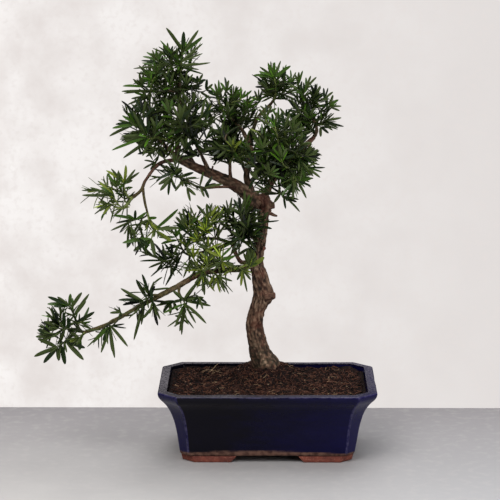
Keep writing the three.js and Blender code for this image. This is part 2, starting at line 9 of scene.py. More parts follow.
import logging
import math
from dataclasses import dataclass, field
from enum import Enum
from itertools import permutations
from typing import Sequence

import bpy
import numpy as np
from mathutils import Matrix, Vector
from numpy.typing import NDArray


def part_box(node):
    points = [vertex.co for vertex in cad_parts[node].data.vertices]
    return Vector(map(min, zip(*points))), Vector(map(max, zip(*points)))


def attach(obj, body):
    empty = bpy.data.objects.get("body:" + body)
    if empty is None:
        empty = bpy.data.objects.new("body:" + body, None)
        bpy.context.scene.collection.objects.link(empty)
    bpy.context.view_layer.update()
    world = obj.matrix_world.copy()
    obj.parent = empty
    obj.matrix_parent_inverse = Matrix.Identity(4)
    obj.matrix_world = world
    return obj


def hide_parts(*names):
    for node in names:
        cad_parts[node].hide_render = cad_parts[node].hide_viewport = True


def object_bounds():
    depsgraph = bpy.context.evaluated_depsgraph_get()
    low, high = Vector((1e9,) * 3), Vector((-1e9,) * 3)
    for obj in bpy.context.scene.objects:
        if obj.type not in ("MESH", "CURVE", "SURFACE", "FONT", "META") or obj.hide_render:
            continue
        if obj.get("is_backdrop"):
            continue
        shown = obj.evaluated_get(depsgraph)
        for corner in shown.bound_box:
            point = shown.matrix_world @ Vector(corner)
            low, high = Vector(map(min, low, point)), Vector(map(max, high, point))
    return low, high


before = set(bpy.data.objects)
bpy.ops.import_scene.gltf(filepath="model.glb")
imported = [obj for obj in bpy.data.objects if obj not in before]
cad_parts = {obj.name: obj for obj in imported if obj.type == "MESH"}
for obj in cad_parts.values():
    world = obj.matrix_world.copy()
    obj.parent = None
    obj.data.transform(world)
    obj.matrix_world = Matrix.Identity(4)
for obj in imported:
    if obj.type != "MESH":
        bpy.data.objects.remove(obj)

Points = NDArray[np.float64]
Values = NDArray[np.float64]
Indices = NDArray[np.int64]
Mask = NDArray[np.bool_]
Triple = tuple[float, float, float]
Pairs = Sequence[tuple[float, float]]
Colour = tuple[float, float, float, float]
Socket = bpy.types.NodeSocket
Material = bpy.types.Material

LOG = logging.getLogger("bonsai")
MM = 0.001
TABLE = -4.0
POT_UNDERSIDE = 4.5
EYE = np.array([0.0, -2812.6, 796.5])


# ---- placing


@dataclass(frozen=True)
class Place:
    """Where the layout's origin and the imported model's box lie, in metres."""

    origin: Points
    low: Points
    high: Points

    @classmethod
    def of_pot(cls) -> Place:
        """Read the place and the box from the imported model.

        Returns:
            The place.
        """
        low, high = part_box("pot")
        origin = np.array([(low.x + high.x) / 2, (low.y + high.y) / 2, low.z - POT_UNDERSIDE * MM])
        return cls(origin, *(np.array(tuple(corner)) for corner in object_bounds()))

    def metres(self, points: Points) -> Points:
        """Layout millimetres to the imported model's metres."""
        return points * MM + self.origin

    def limits(self, margin: float) -> tuple[Points, Points]:
        """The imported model's lowest and highest corner in layout millimetres, each moved in by a margin."""
        return (self.low - self.origin) / MM + margin, (self.high - self.origin) / MM - margin


PLACE = Place.of_pot()


# ---- numbers


@dataclass
class Dice:
    """Pseudo-random numbers that are the same on every run."""

    state: int

    def roll(self) -> float:
        """A number from 0 to 1."""
        self.state = (self.state * 1664525 + 1013904223) % 4294967296
        return self.state / 4294967296

    def between(self, low: float, high: float) -> float:
        """A number between two limits."""
        return low + (high - low) * self.roll()


@dataclass(frozen=True)
class Grain:
    """Smooth random values all through space."""

    seed: int

    def _corner(self, cells: Indices) -> Values:
        """Hash whole-numbered cells.

        Args:
            cells: The cells, one a row.

        Returns:
            A value from -1 to 1 for each.
        """
        mixed = cells[:, 0] * 374761393 + cells[:, 1] * 668265263 + cells[:, 2] * 1274126177 + self.seed * 69069
        mixed = (mixed ^ (mixed >> 13)) * 1274126177
        mixed ^= mixed >> 16
        return (mixed & 0xFFFFF) / 0xFFFFF * 2.0 - 1.0

    def at(self, points: Points) -> Values:
        """Smooth values with features about one unit across.

        Args:
            points: Where to take them.

        Returns:
            One value from -1 to 1 for each point.
        """
        cells = np.floor(points).astype(np.int64)
        inner = points - cells
        inner = inner * inner * (3.0 - 2.0 * inner)
        total = np.zeros(len(points))
        for steps in np.ndindex(2, 2, 2):
            share = np.ones(len(points))
            for axis, step in enumerate(steps):
                share = share * (inner[:, axis] if step else 1.0 - inner[:, axis])
            total += share * self._corner(cells + np.array(steps))
        return total

    def rough(self, points: Points, octaves: int = 3) -> Values:
        """Layers of smooth values, each twice as fine and half as strong: for each point about -1 to 1."""
        layers = (self.at(points * 2.0**k + 17.3 * k) * 0.5**k for k in range(octaves))
        return sum(layers, np.zeros(len(points)))


def unit(vectors: Points) -> Points:
    """Vectors scaled to length one."""
    return vectors / np.maximum(np.linalg.norm(vectors, axis=-1, keepdims=True), 1e-12)


def turned(vectors: Points, axes: Points, angles: Values) -> Points:
    """Turn each vector about its own axis.

    Args:
        vectors: The vectors, one a row.
        axes: The axes, of length one.
        angles: The angles, in radians.

    Returns:
        The turned vectors.
    """
    c, s = np.cos(angles)[:, None], np.sin(angles)[:, None]
    along = np.sum(vectors * axes, axis=1, keepdims=True)
    return vectors * c + np.cross(axes, vectors) * s + axes * along * (1.0 - c)


# ---- finishes


def colour(red: int, green: int, blue: int) -> Colour:
    """A colour from 0 to 255 a channel, as the linear colour that a shader takes."""
    channels = [(v / 255) / 12.92 if v <= 10 else ((v / 255 + 0.055) / 1.055) ** 2.4 for v in (red, green, blue)]
    return (channels[0], channels[1], channels[2], 1.0)


class Recipe:
    """A material's node tree while it is being mixed, and the shade that its washes have reached."""

    def __init__(self, name: str, roughness: float, specular: float, shade: Colour = (0.0, 0.0, 0.0, 1.0)) -> None:
        """Start a material.

        Args:
            name: Its name.
            roughness: Its shader's roughness.
            specular: Its shader's specular level.
            shade: Its first shade.
        """
        self.material = bpy.data.materials.new(name)
        self.material.use_nodes = True
        self.tree = self.material.node_tree
        self.put("Roughness", roughness)
        self.put("Specular IOR Level", specular)
        self.where = self.tree.nodes.new("ShaderNodeTexCoord").outputs["Object"]
        self.shade = shade

    def _feed(self, socket: Socket, value: object) -> None:
        """Link or set an input.

        Args:
            socket: The input.
            value: The socket to link to it, or the value to set.
        """
        if isinstance(value, Socket):
            self.tree.links.new(value, socket)
        else:
            socket.default_value = value

    def put(self, name: str, value: object) -> None:
        """Link or set one of the shader's inputs."""
        self._feed(self.tree.nodes["Principled BSDF"].inputs[name], value)

    def _node(self, kind: str, links: dict[str | int, object], **settings: object) -> bpy.types.Node:
        """Add one node.

        Args:
            kind: The node's type.
            links: For each input, a socket to link or a value to set.
            settings: The node's own properties.

        Returns:
            The node.
        """
        node = self.tree.nodes.new(kind)
        for key, value in settings.items():
            setattr(node, key, value)
        for key, value in links.items():
            self._feed(node.inputs[key], value)
        return node

    def stretched(self, scale: Triple) -> Socket:
        """The place on the object, scaled along each axis."""
        return self._node("ShaderNodeMapping", {"Vector": self.where, "Scale": scale}).outputs["Vector"]

    def axis(self, name: str) -> Socket:
        """The place along one axis, in metres."""
        return self._node("ShaderNodeSeparateXYZ", {"Vector": self.where}).outputs[name]

    def noise(self, size: float, detail: float, where: Socket | None = None) -> Socket:
        """A cloudy pattern from 0 to 1, with features of a size in millimetres and more or less finer structure."""
        links = {"Vector": where or self.where, "Scale": 1.0 / (size * MM), "Detail": detail}
        return self._node("ShaderNodeTexNoise", links).outputs["Fac"]

    def cells(self, size: float) -> Socket:
        """The distance to the nearest of many scattered points, for grains and pores of a size in millimetres."""
        links = {"Vector": self.where, "Scale": 1.0 / (size * MM)}
        return self._node("ShaderNodeTexVoronoi", links).outputs["Distance"]

    def stored(self, name: str) -> Socket:
        """A value that the mesh holds for each corner."""
        return self._node("ShaderNodeAttribute", {}, attribute_name=name).outputs["Fac"]

    def ramp(self, value: Socket, stops: Sequence[tuple[float, Colour]]) -> Socket:
        """Colours picked by a value.

        Args:
            value: The value, from 0 to 1.
            stops: Each a place from 0 to 1 and the colour there.

        Returns:
            The colour.
        """
        node = self._node("ShaderNodeValToRGB", {"Fac": value})
        band = node.color_ramp
        while len(band.elements) < len(stops):
            band.elements.new(0.5)
        for element, (place, shade) in zip(band.elements, stops):
            element.position, element.color = place, shade
        return node.outputs["Color"]

    def spread(self, value: Socket, low: float, high: float, least: float = 0.0, most: float = 1.0) -> Socket:
        """A value mapped from the range low to high onto the range least to most, and kept within it."""
        links = {"Value": value, "From Min": low, "From Max": high, "To Min": least, "To Max": most}
        return self._node("ShaderNodeMapRange", links, clamp=True).outputs["Result"]

    def patches(self, size: float, detail: float, *span: float) -> Socket:
        """A cloudy pattern's value, mapped by spread."""
        return self.spread(self.noise(size, detail), *span)

    def blend(self, share: object, first: object, second: object) -> Socket:
        """The first colour where the share is 0, and the second where it is 1."""
        return self._node("ShaderNodeMix", {0: share, 6: first, 7: second}, data_type="RGBA").outputs[2]

    def times(self, first: object, second: object) -> Socket:
        """Two values multiplied."""
        return self._node("ShaderNodeMath", {0: first, 1: second}, operation="MULTIPLY").outputs[0]

    def plus(self, first: object, second: object) -> Socket:
        """Two values added."""
        return self._node("ShaderNodeMath", {0: first, 1: second}, operation="ADD").outputs[0]

    def wash(self, over: object, share: Socket, strength: float = 1.0) -> None:
        """Lay a colour over the shade so far.

        Args:
            over: The colour, or a socket that gives it.
            share: Where it lies, from 0 to 1.
            strength: How far it covers where the share is 1.
        """
        if strength < 1.0:
            share = self.times(share, strength)
        self.shade = self.blend(share, self.shade, over)

    def emboss(self, height: Socket, depth: float) -> None:
        """Bump the surface by a height from 0 to 1, over a depth in millimetres."""
        links = {"Height": height, "Distance": depth * MM, "Strength": 1.0}
        self.put("Normal", self._node("ShaderNodeBump", links).outputs["Normal"])

    def finished(self) -> Material:
        """The material, painted with the last shade."""
        self.put("Base Color", self.shade)
        return self.material


@dataclass(frozen=True)
class LeafFinish:
    """One plain leaf colour, waxy on top."""

    name: str
    red: int
    green: int
    blue: int
    roughness: float
    specular: float = 0.21

    def material(self) -> Material:
        """Make the material."""
        return Recipe(self.name, self.roughness, self.specular, colour(self.red, self.green, self.blue)).finished()


@dataclass(frozen=True)
class BarkFinish:
    """Flaking bark: dark fissures between warm plates, mossy grey where the mesh says so."""

    name: str
    fissure: Colour = colour(34, 24, 19)
    plate: Colour = colour(104, 79, 63)
    flake: Colour = colour(150, 125, 103)
    red: Colour = colour(112, 60, 46)
    rose: Colour = colour(92, 58, 48)
    green: Colour = colour(84, 80, 44)
    pith: Colour = colour(58, 52, 30)
    moss: Colour = colour(44, 40, 28)
    cut: Colour = colour(104, 66, 56)

    def material(self) -> Material:
        """Make the material.

        Returns:
            The material.
        """
        mix = Recipe(self.name, 0.86, 0.25)
        grain = mix.noise(1.6, 6.0, mix.stretched((1.0, 1.0, 0.22)))
        height = mix.plus(mix.times(mix.stored("relief"), 0.7), mix.times(grain, 0.3))
        mix.shade = mix.ramp(height, [(0.17, self.fissure), (0.52, self.plate), (0.84, self.flake)])
        mix.wash(self.red, mix.patches(17.0, 3.0, 0.46, 0.66), 0.4)
        mix.wash(self.moss, mix.times(mix.stored("moss"), mix.patches(4.0, 5.0, 0.38, 0.6)), 0.85)
        mix.wash(self.rose, mix.stored("rosy"), 0.45)
        fresh = mix.blend(mix.patches(3.5, 4.0, 0.4, 0.6), self.green, self.pith)
        mix.wash(fresh, mix.stored("young"), 0.85)
        mix.wash(self.cut, mix.stored("cut"))
        mix.emboss(mix.plus(grain, mix.times(mix.noise(0.7, 3.0), 0.5)), 0.5)
        return mix.finished()


@dataclass(frozen=True)
class TwigFinish:
    """The smooth skin of young wood, in two shades that drift into each other."""

    name: str
    dark: Colour
    light: Colour

    def material(self) -> Material:
        """Make the material.

        Returns:
            The material.
        """
        mix = Recipe(self.name, 0.7, 0.3)
        mix.shade = mix.ramp(mix.noise(3.0, 3.0), [(0.35, self.dark), (0.65, self.light)])
        mix.emboss(mix.noise(1.1, 3.0), 0.15)
        return mix.finished()


@dataclass(frozen=True)
class GlazeFinish:
    """A thick dark glaze that runs bluer to one side, breaks paler on edges, and stops short of the feet. The pale
    edges are partly painted highlight, the cut-corner facets are painted a lighter violet as painted light, and the
    inside of the wall is darkened as painted shade.
    """

    name: str
    dark_end: float
    blue_end: float
    night: Colour = colour(4, 3, 14)
    navy: Colour = colour(10, 8, 54)
    violet: Colour = colour(15, 12, 56)
    broken: Colour = colour(88, 84, 112)
    chalk: Colour = colour(124, 119, 124)
    clay: Colour = colour(106, 78, 66)
    burnt: Colour = colour(64, 42, 36)

    def material(self) -> Material:
        """Make the material.

        Returns:
            The material.
        """
        mix = Recipe(self.name, 0.2, 0.16)
        lean = mix.spread(mix.axis("X"), self.dark_end, self.blue_end)
        runs = mix.noise(9.0, 4.0, mix.stretched((0.3, 1.0, 1.0)))
        clouds = mix.plus(mix.times(lean, 0.75), mix.times(runs, 0.5))
        mix.shade = mix.blend(mix.spread(clouds, 0.3, 1.05), self.night, self.navy)
        # Painted light: the cut-corner facets are painted a lighter violet than the faces.
        mix.wash(self.violet, mix.stored("facet"), 0.8)
        # Painted shade: the inside of the wall is darkened nearly to black.
        mix.wash(self.night, mix.stored("inner"), 0.9)
        # Painted highlight: the edges are washed paler, partly the glaze breaking thin and partly a painted highlight.
        mix.wash(self.broken, mix.times(mix.stored("edge"), mix.patches(5.0, 5.0, 0.35, 0.62)), 0.5)
        mix.wash(self.chalk, mix.times(mix.stored("top"), mix.patches(3.0, 6.0, 0.34, 0.6, 0.25)), 0.75)
        bare = mix.stored("bare")
        mix.wash(mix.blend(mix.patches(6.0, 5.0, 0.4, 0.62), self.clay, self.burnt), bare)
        mottled = mix.patches(2.2, 4.0, 0.4, 0.7, 0.1, 0.24)
        mix.put("Roughness", mix.plus(mottled, mix.times(bare, 0.6)))
        mix.emboss(mix.plus(mix.noise(7.0, 2.0), mix.times(mix.noise(0.9, 2.0), 0.12)), 0.28)
        return mix.finished()


@dataclass(frozen=True)
class ClayFinish:
    """Unglazed fired clay with darker scorched patches and pale dust."""

    name: str
    body: Colour = colour(110, 58, 47)
    scorched: Colour = colour(84, 44, 38)
    dust: Colour = colour(150, 104, 88)

    def material(self) -> Material:
        """Make the material.

        Returns:
            The material.
        """
        mix = Recipe(self.name, 0.88, 0.2, self.body)
        mix.wash(self.scorched, mix.patches(11.0, 5.0, 0.42, 0.62))
        mix.wash(self.dust, mix.patches(1.8, 4.0, 0.56, 0.7), 0.6)
        mix.emboss(mix.plus(mix.noise(1.4, 4.0), mix.times(mix.cells(1.2), 0.6)), 0.3)
        return mix.finished()


@dataclass(frozen=True)
class SoilFinish:
    """Damp potting soil, nearly black in its hollows and warmer on its crumbs."""

    name: str
    damp: Colour
    middle: Colour
    dry: Colour

    def material(self) -> Material:
        """Make the material.

        Returns:
            The material.
        """
        mix = Recipe(self.name, 0.95, 0.15)
        speckle = mix.plus(mix.times(mix.noise(2.2, 6.0), 0.7), mix.times(mix.noise(12.0, 3.0), 0.3))
        mix.shade = mix.ramp(speckle, [(0.36, self.damp), (0.52, self.middle), (0.68, self.dry)])
        mix.emboss(mix.plus(mix.noise(1.3, 6.0), mix.cells(1.7)), 0.9)
        return mix.finished()


@dataclass(frozen=True)
class StageFinish:
    """The table's worn grey top, or with a glow the bright wall round the scene.

    A base colour is clouded in patches, and drifts to another, darker colour within a reach to the right and towards
    the back: a painted shade.
    """

    name: str
    base: Colour
    cloud: Colour
    patch: float
    # The colours of the painted shade to the right and towards the back.
    right: Colour
    reach: float
    speckled: float
    back: Colour | None = None
    back_reach: tuple[float, float] = (-0.4, 0.2)
    glow: float = 0.0

    def material(self) -> Material:
        """Make the material.

        Returns:
            The material.
        """
        mix = Recipe(self.name, 0.6, 0.0 if self.glow else 0.3, self.base)
        mix.wash(self.cloud, mix.patches(self.patch, 6.0, 0.38, 0.68))
        # Painted shade: darker towards the right.
        mix.wash(self.right, mix.spread(mix.axis("X"), -self.reach, self.reach))
        if self.back:
            # Painted shade: darker towards the back.
            mix.wash(self.back, mix.spread(mix.axis("Y"), *self.back_reach))
        mix.wash(self.cloud, mix.patches(self.patch / 9, 6.0, 0.5, 0.7), self.speckled)
        if self.glow:
            mix.put("Emission Color", mix.shade)
            mix.put("Emission Strength", self.glow)
            mix.shade = (0.0, 0.0, 0.0, 1.0)
        return mix.finished()


# ---- meshes


def shown(name: str, data: bpy.types.ID) -> bpy.types.Object:
    """Put a new object in the scene.

    Args:
        name: Its name.
        data: Its mesh, lamp or camera.

    Returns:
        The object.
    """
    thing = bpy.data.objects.new(name, data)
    bpy.context.scene.collection.objects.link(thing)
    return thing


@dataclass
class Skin:
    """A mesh while it is being built: corners, faces of three or four corners, and values held at the corners."""

    corners: list[Points] = field(default_factory=list)
    faces: list[Indices] = field(default_factory=list)
    finishes: list[Indices] = field(default_factory=list)
    stored: dict[str, list[Values]] = field(default_factory=dict)
    count: int = 0

    def add(self, corners: Points, faces: Sequence[Indices], finish: Indices | int = 0, **stored: Values) -> None:
        """Add one closed form.

        Args:
            corners: Its corners in millimetres.
            faces: Arrays of faces, each with three or with four corners a face.
            finish: One finish number for the form, or one for each of its faces in order.
            stored: Values to hold at the corners, by name.
        """
        total = sum(len(group) for group in faces)
        self.finishes.append(np.broadcast_to(np.asarray(finish, np.int64), total))
        self.faces += [group + self.count for group in faces]
        self.corners.append(corners)
        self.count += len(corners)
        for name, values in stored.items():
            self.stored.setdefault(name, []).append(values)

    def piece(self, name: str, materials: Sequence[Material], slot: str, crease: float = 180.0) -> bpy.types.Object:
        """Make the object, riding on the plant's body.

        Args:
            name: The piece's name.
            materials: Its finishes, in the order of the finish numbers.
            slot: Not used.
            crease: The angle in degrees above which an edge stays sharp.

        Returns:
            The object.
        """
        corners = PLACE.metres(np.concatenate(self.corners))
        loops = np.concatenate([group.ravel() for group in self.faces])
        sizes = np.concatenate([np.full(len(group), group.shape[1]) for group in self.faces])
        mesh = bpy.data.meshes.new(name)
        mesh.vertices.add(len(corners))
        mesh.vertices.foreach_set("co", corners.astype(np.float32).ravel())
        mesh.loops.add(len(loops))
        mesh.loops.foreach_set("vertex_index", loops.astype(np.int32))
        mesh.polygons.add(len(sizes))
        mesh.polygons.foreach_set("loop_start", np.concatenate([[0], np.cumsum(sizes)[:-1]]).astype(np.int32))
        mesh.polygons.foreach_set("material_index", np.concatenate(self.finishes).astype(np.int32))
        mesh.polygons.foreach_set("use_smooth", np.ones(len(sizes), bool))
        for key, groups in self.stored.items():
            layer = mesh.attributes.new(key, "FLOAT", "POINT")
            layer.data.foreach_set("value", np.concatenate(groups).astype(np.float32))
        mesh.update(calc_edges=True)
        if crease < 180.0:
            mesh.set_sharp_from_angle(angle=math.radians(crease))
        for material in materials:
            mesh.materials.append(material)
        thing = shown(name, mesh)
        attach(thing, "root")
        LOG.info("%s: %d triangles", name, int(np.sum(sizes - 2)))
        return thing


def tube_faces(rings: int, sides: int) -> list[Indices]:
    """Faces of a closed tube whose corners are its rings in order, then its first and its last middle point.

    Args:
        rings: The number of rings.
        sides: The number of corners in each.

    Returns:
        The walls, the first cap and the last cap.
    """
    row, side = np.meshgrid(np.arange(rings - 1), np.arange(sides), indexing="ij")
    a = row * sides + side
    b = row * sides + (side + 1) % sides
    walls = np.stack([a, b, b + sides, a + sides], -1).reshape(-1, 4)
    k = np.arange(sides)
    first, last, end = rings * sides, rings * sides + 1, (rings - 1) * sides
    start_cap = np.stack([np.full(sides, first), (k + 1) % sides, k], -1)
    end_cap = np.stack([np.full(sides, last), end + k, end + (k + 1) % sides], -1)
    return [walls, start_cap, end_cap]


def raised(plan: Points, height: float) -> Points:
    """The points of a flat outline, at one height."""
    return np.column_stack([plan, np.full(len(plan), height)])


def round_angles(sides: int) -> Values:
    """Even angles round a circle, in radians."""
    return np.arange(sides) * 2.0 * math.pi / sides


def spokes_along(centres: Points, sides: int) -> tuple[Points, Points]:
    """Spokes round every point of a line, which travel along it without twisting.

    Args:
        centres: The points of the line.
        sides: The number of spokes at each.

    Returns:
        The line's direction at each point, and the spokes as points by sides by three.
    """
    heading = unit(np.gradient(centres, axis=0))
    side = np.zeros_like(heading)
    spare = np.eye(3)[int(np.argmin(np.abs(heading[0])))]
    current = unit(np.cross(heading[0], spare))
    for i, way in enumerate(heading):
        current = unit(current - way * float(current @ way))
        side[i] = current
    other = np.cross(heading, side)
    angles = round_angles(sides)[None, :, None]
    return heading, side[:, None] * np.cos(angles) + other[:, None] * np.sin(angles)


def tube(centres: Points, radii: Values, sides: int) -> Points:
    """Corners of a closed round tube, from its middle line and the radius along it, for the faces of tube_faces."""
    rings = centres[:, None] + spokes_along(centres, sides)[1] * radii[:, None, None]
    return np.concatenate([rings.reshape(-1, 3), centres[:1], centres[-1:]])


def rounded_outline(corners: Pairs, radius: float, arc: int, spans: Sequence[int]) -> Points:
    """A flat outline with rounded corners and a fixed number of points.

    Args:
        corners: The outline's corners, counter-clockwise.
        radius: The radius that rounds each of them.
        arc: The number of steps round each corner.
        spans: The number of steps along the straight after each corner.

    Returns:
        The points, as x and y.
    """
    sharp = np.array(corners)
    arcs: list[Points] = []
    for i, corner in enumerate(sharp):
        back = unit(sharp[i - 1] - corner)
        ahead = unit(sharp[(i + 1) % len(sharp)] - corner)
        half = math.acos(float(np.clip(back @ ahead, -1, 1))) / 2
        centre = corner + unit(back + ahead) * radius / math.sin(half)
        start = corner + back * radius / math.tan(half) - centre
        sweep = math.pi - 2 * half
        turns = np.linspace(0.0, sweep, arc + 1)
        c, s = np.cos(turns), np.sin(turns)
        arcs.append(centre + np.stack([start[0] * c - start[1] * s, start[0] * s + start[1] * c], -1))
    points: list[Points] = []
    for i, bend in enumerate(arcs):
        following = arcs[(i + 1) % len(arcs)][0]
        shares = 0.5 - 0.5 * np.cos(math.pi * np.arange(1, spans[i])[:, None] / spans[i])
        points += [bend, bend[-1] + (following - bend[-1]) * shares]
    return np.concatenate(points)


def smooth_curve(points: Points, steps: int) -> Points:
    """A smooth line through points.

    Args:
        points: The points.
        steps: The number of steps between each two of them.

    Returns:
        The line's points.
    """
    padded = np.concatenate([2 * points[:1] - points[1:2], points, 2 * points[-1:] - points[-2:-1]])
    t = (np.arange(steps) / steps)[None, :, None]
    a, b, c, d = (padded[k : len(padded) - 3 + k][:, None] for k in range(4))
    start, end = (c - a) / 2, (d - b) / 2
    body = b + start * t + (3 * (c - b) - 2 * start - end) * t**2 + (2 * (b - c) + start + end) * t**3
    return np.concatenate([body.reshape(-1, points.shape[1]), points[-1:]])


# ---- limbs


class Line:
    """A line of points, measured along its length."""

    def __init__(self, points: Points) -> None:
        """Measure the line.

        Args:
            points: Its points.
        """
        self.points = points
        self.ways = np.concatenate([[0.0], np.cumsum(np.linalg.norm(np.diff(points, axis=0), axis=1))])
        self.length = float(self.ways[-1])

    def at(self, ways: Values) -> Points:
        """The points some ways along the line."""
        return np.stack([np.interp(ways, self.ways, self.points[:, k]) for k in range(3)], -1)


@dataclass(eq=False)
class Limb:
    """A trunk or bough: a smooth line through its route, and its radius all along it.

    Its bark may be reddish, from 0 to 1, and it turns green between two shares of its length, which are over 1 where
    it stays brown.
    """

    name: str
    radii: Sequence[float]
    route: Sequence[Triple]
    rosy: float = 0.0
    greening: tuple[float, float] = (2.0, 3.0)

    def __post_init__(self) -> None:
        """Measure the line finely once."""
        self.line = Line(smooth_curve(np.array(self.route, float), 40))
        self.length = self.line.length
        places = np.linspace(0, len(self.radii) - 1, len(self.line.points))
        self._radius = np.interp(places, np.arange(len(self.radii)), self.radii)

    def points(self, shares: Values) -> Points:
        """Points at shares of the limb's length."""
        return self.line.at(shares * self.length)

    def radius(self, shares: Values) -> Values:
        """The radius at shares of the limb's length."""
        return np.interp(shares * self.length, self.line.ways, self._radius)

    def heading(self) -> Points:
        """The direction in which the limb ends."""
        return unit(self.line.points[-1] - self.line.points[-4])


@dataclass(frozen=True)
class Knob:
    """A healed stub: a bump on a limb's skin."""

    at: Triple
    size: float
    height: float
    rosy: float = 0.0

    def swell(self, surface: Points) -> Values:
        """How strongly the knob raises each point of a limb's surface, from 0 to 1."""
        near = np.sum((surface - np.array(self.at)) ** 2, axis=1)
        return np.exp(-near / (2 * (self.size * 0.55) ** 2))


@dataclass(frozen=True)
class Bark:
    """How a limb's bark is laid: the corners round it, the distance between its rings, how deep its fissures are,
    its pattern's seed, whether its foot spreads into root ridges, how much its base thickens as a share of its
    radius, and whether it ends in a bare cut face."""

    sides: int
    step: float
    depth: float
    seed: int
    flare: bool = False
    collar: float = 0.0
    cut: bool = False

    def pattern(self, turn: Values, way: Values, mean: float) -> tuple[Values, Values, Values]:
        """The pattern of fissures, plates and lumps.

        Args:
            turn: The angles round the limb, as rings by sides.
            way: How far along the limb each ring lies.
            mean: The limb's mean radius.

        Returns:
            The relief, from about 0 in a fissure to 1 on a plate, how far the bark stands out, and how coarse it is
            where a knob swells it.
        """
        grain = Grain(self.seed)
        spots = np.stack([np.cos(turn) * mean, np.sin(turn) * mean, np.broadcast_to(way[:, None], turn.shape)], -1)
        spots = spots.reshape(-1, 3)
        strips = (1 - np.abs(grain.at(spots / np.array([3.2, 3.2, 11.0])))) ** 3
        plates = grain.rough(spots / np.array([2.0, 2.0, 4.4]) + 40, 3)
        lumps = grain.rough(spots / np.array([9.0, 9.0, 14.0]) + 90, 2)
        relief = np.clip(0.58 - 0.5 * strips + 0.52 * plates, -0.4, 1.2)
        return relief, self.depth * (relief - 0.5) + self.depth * 0.9 * lumps, plates - strips + 0.3


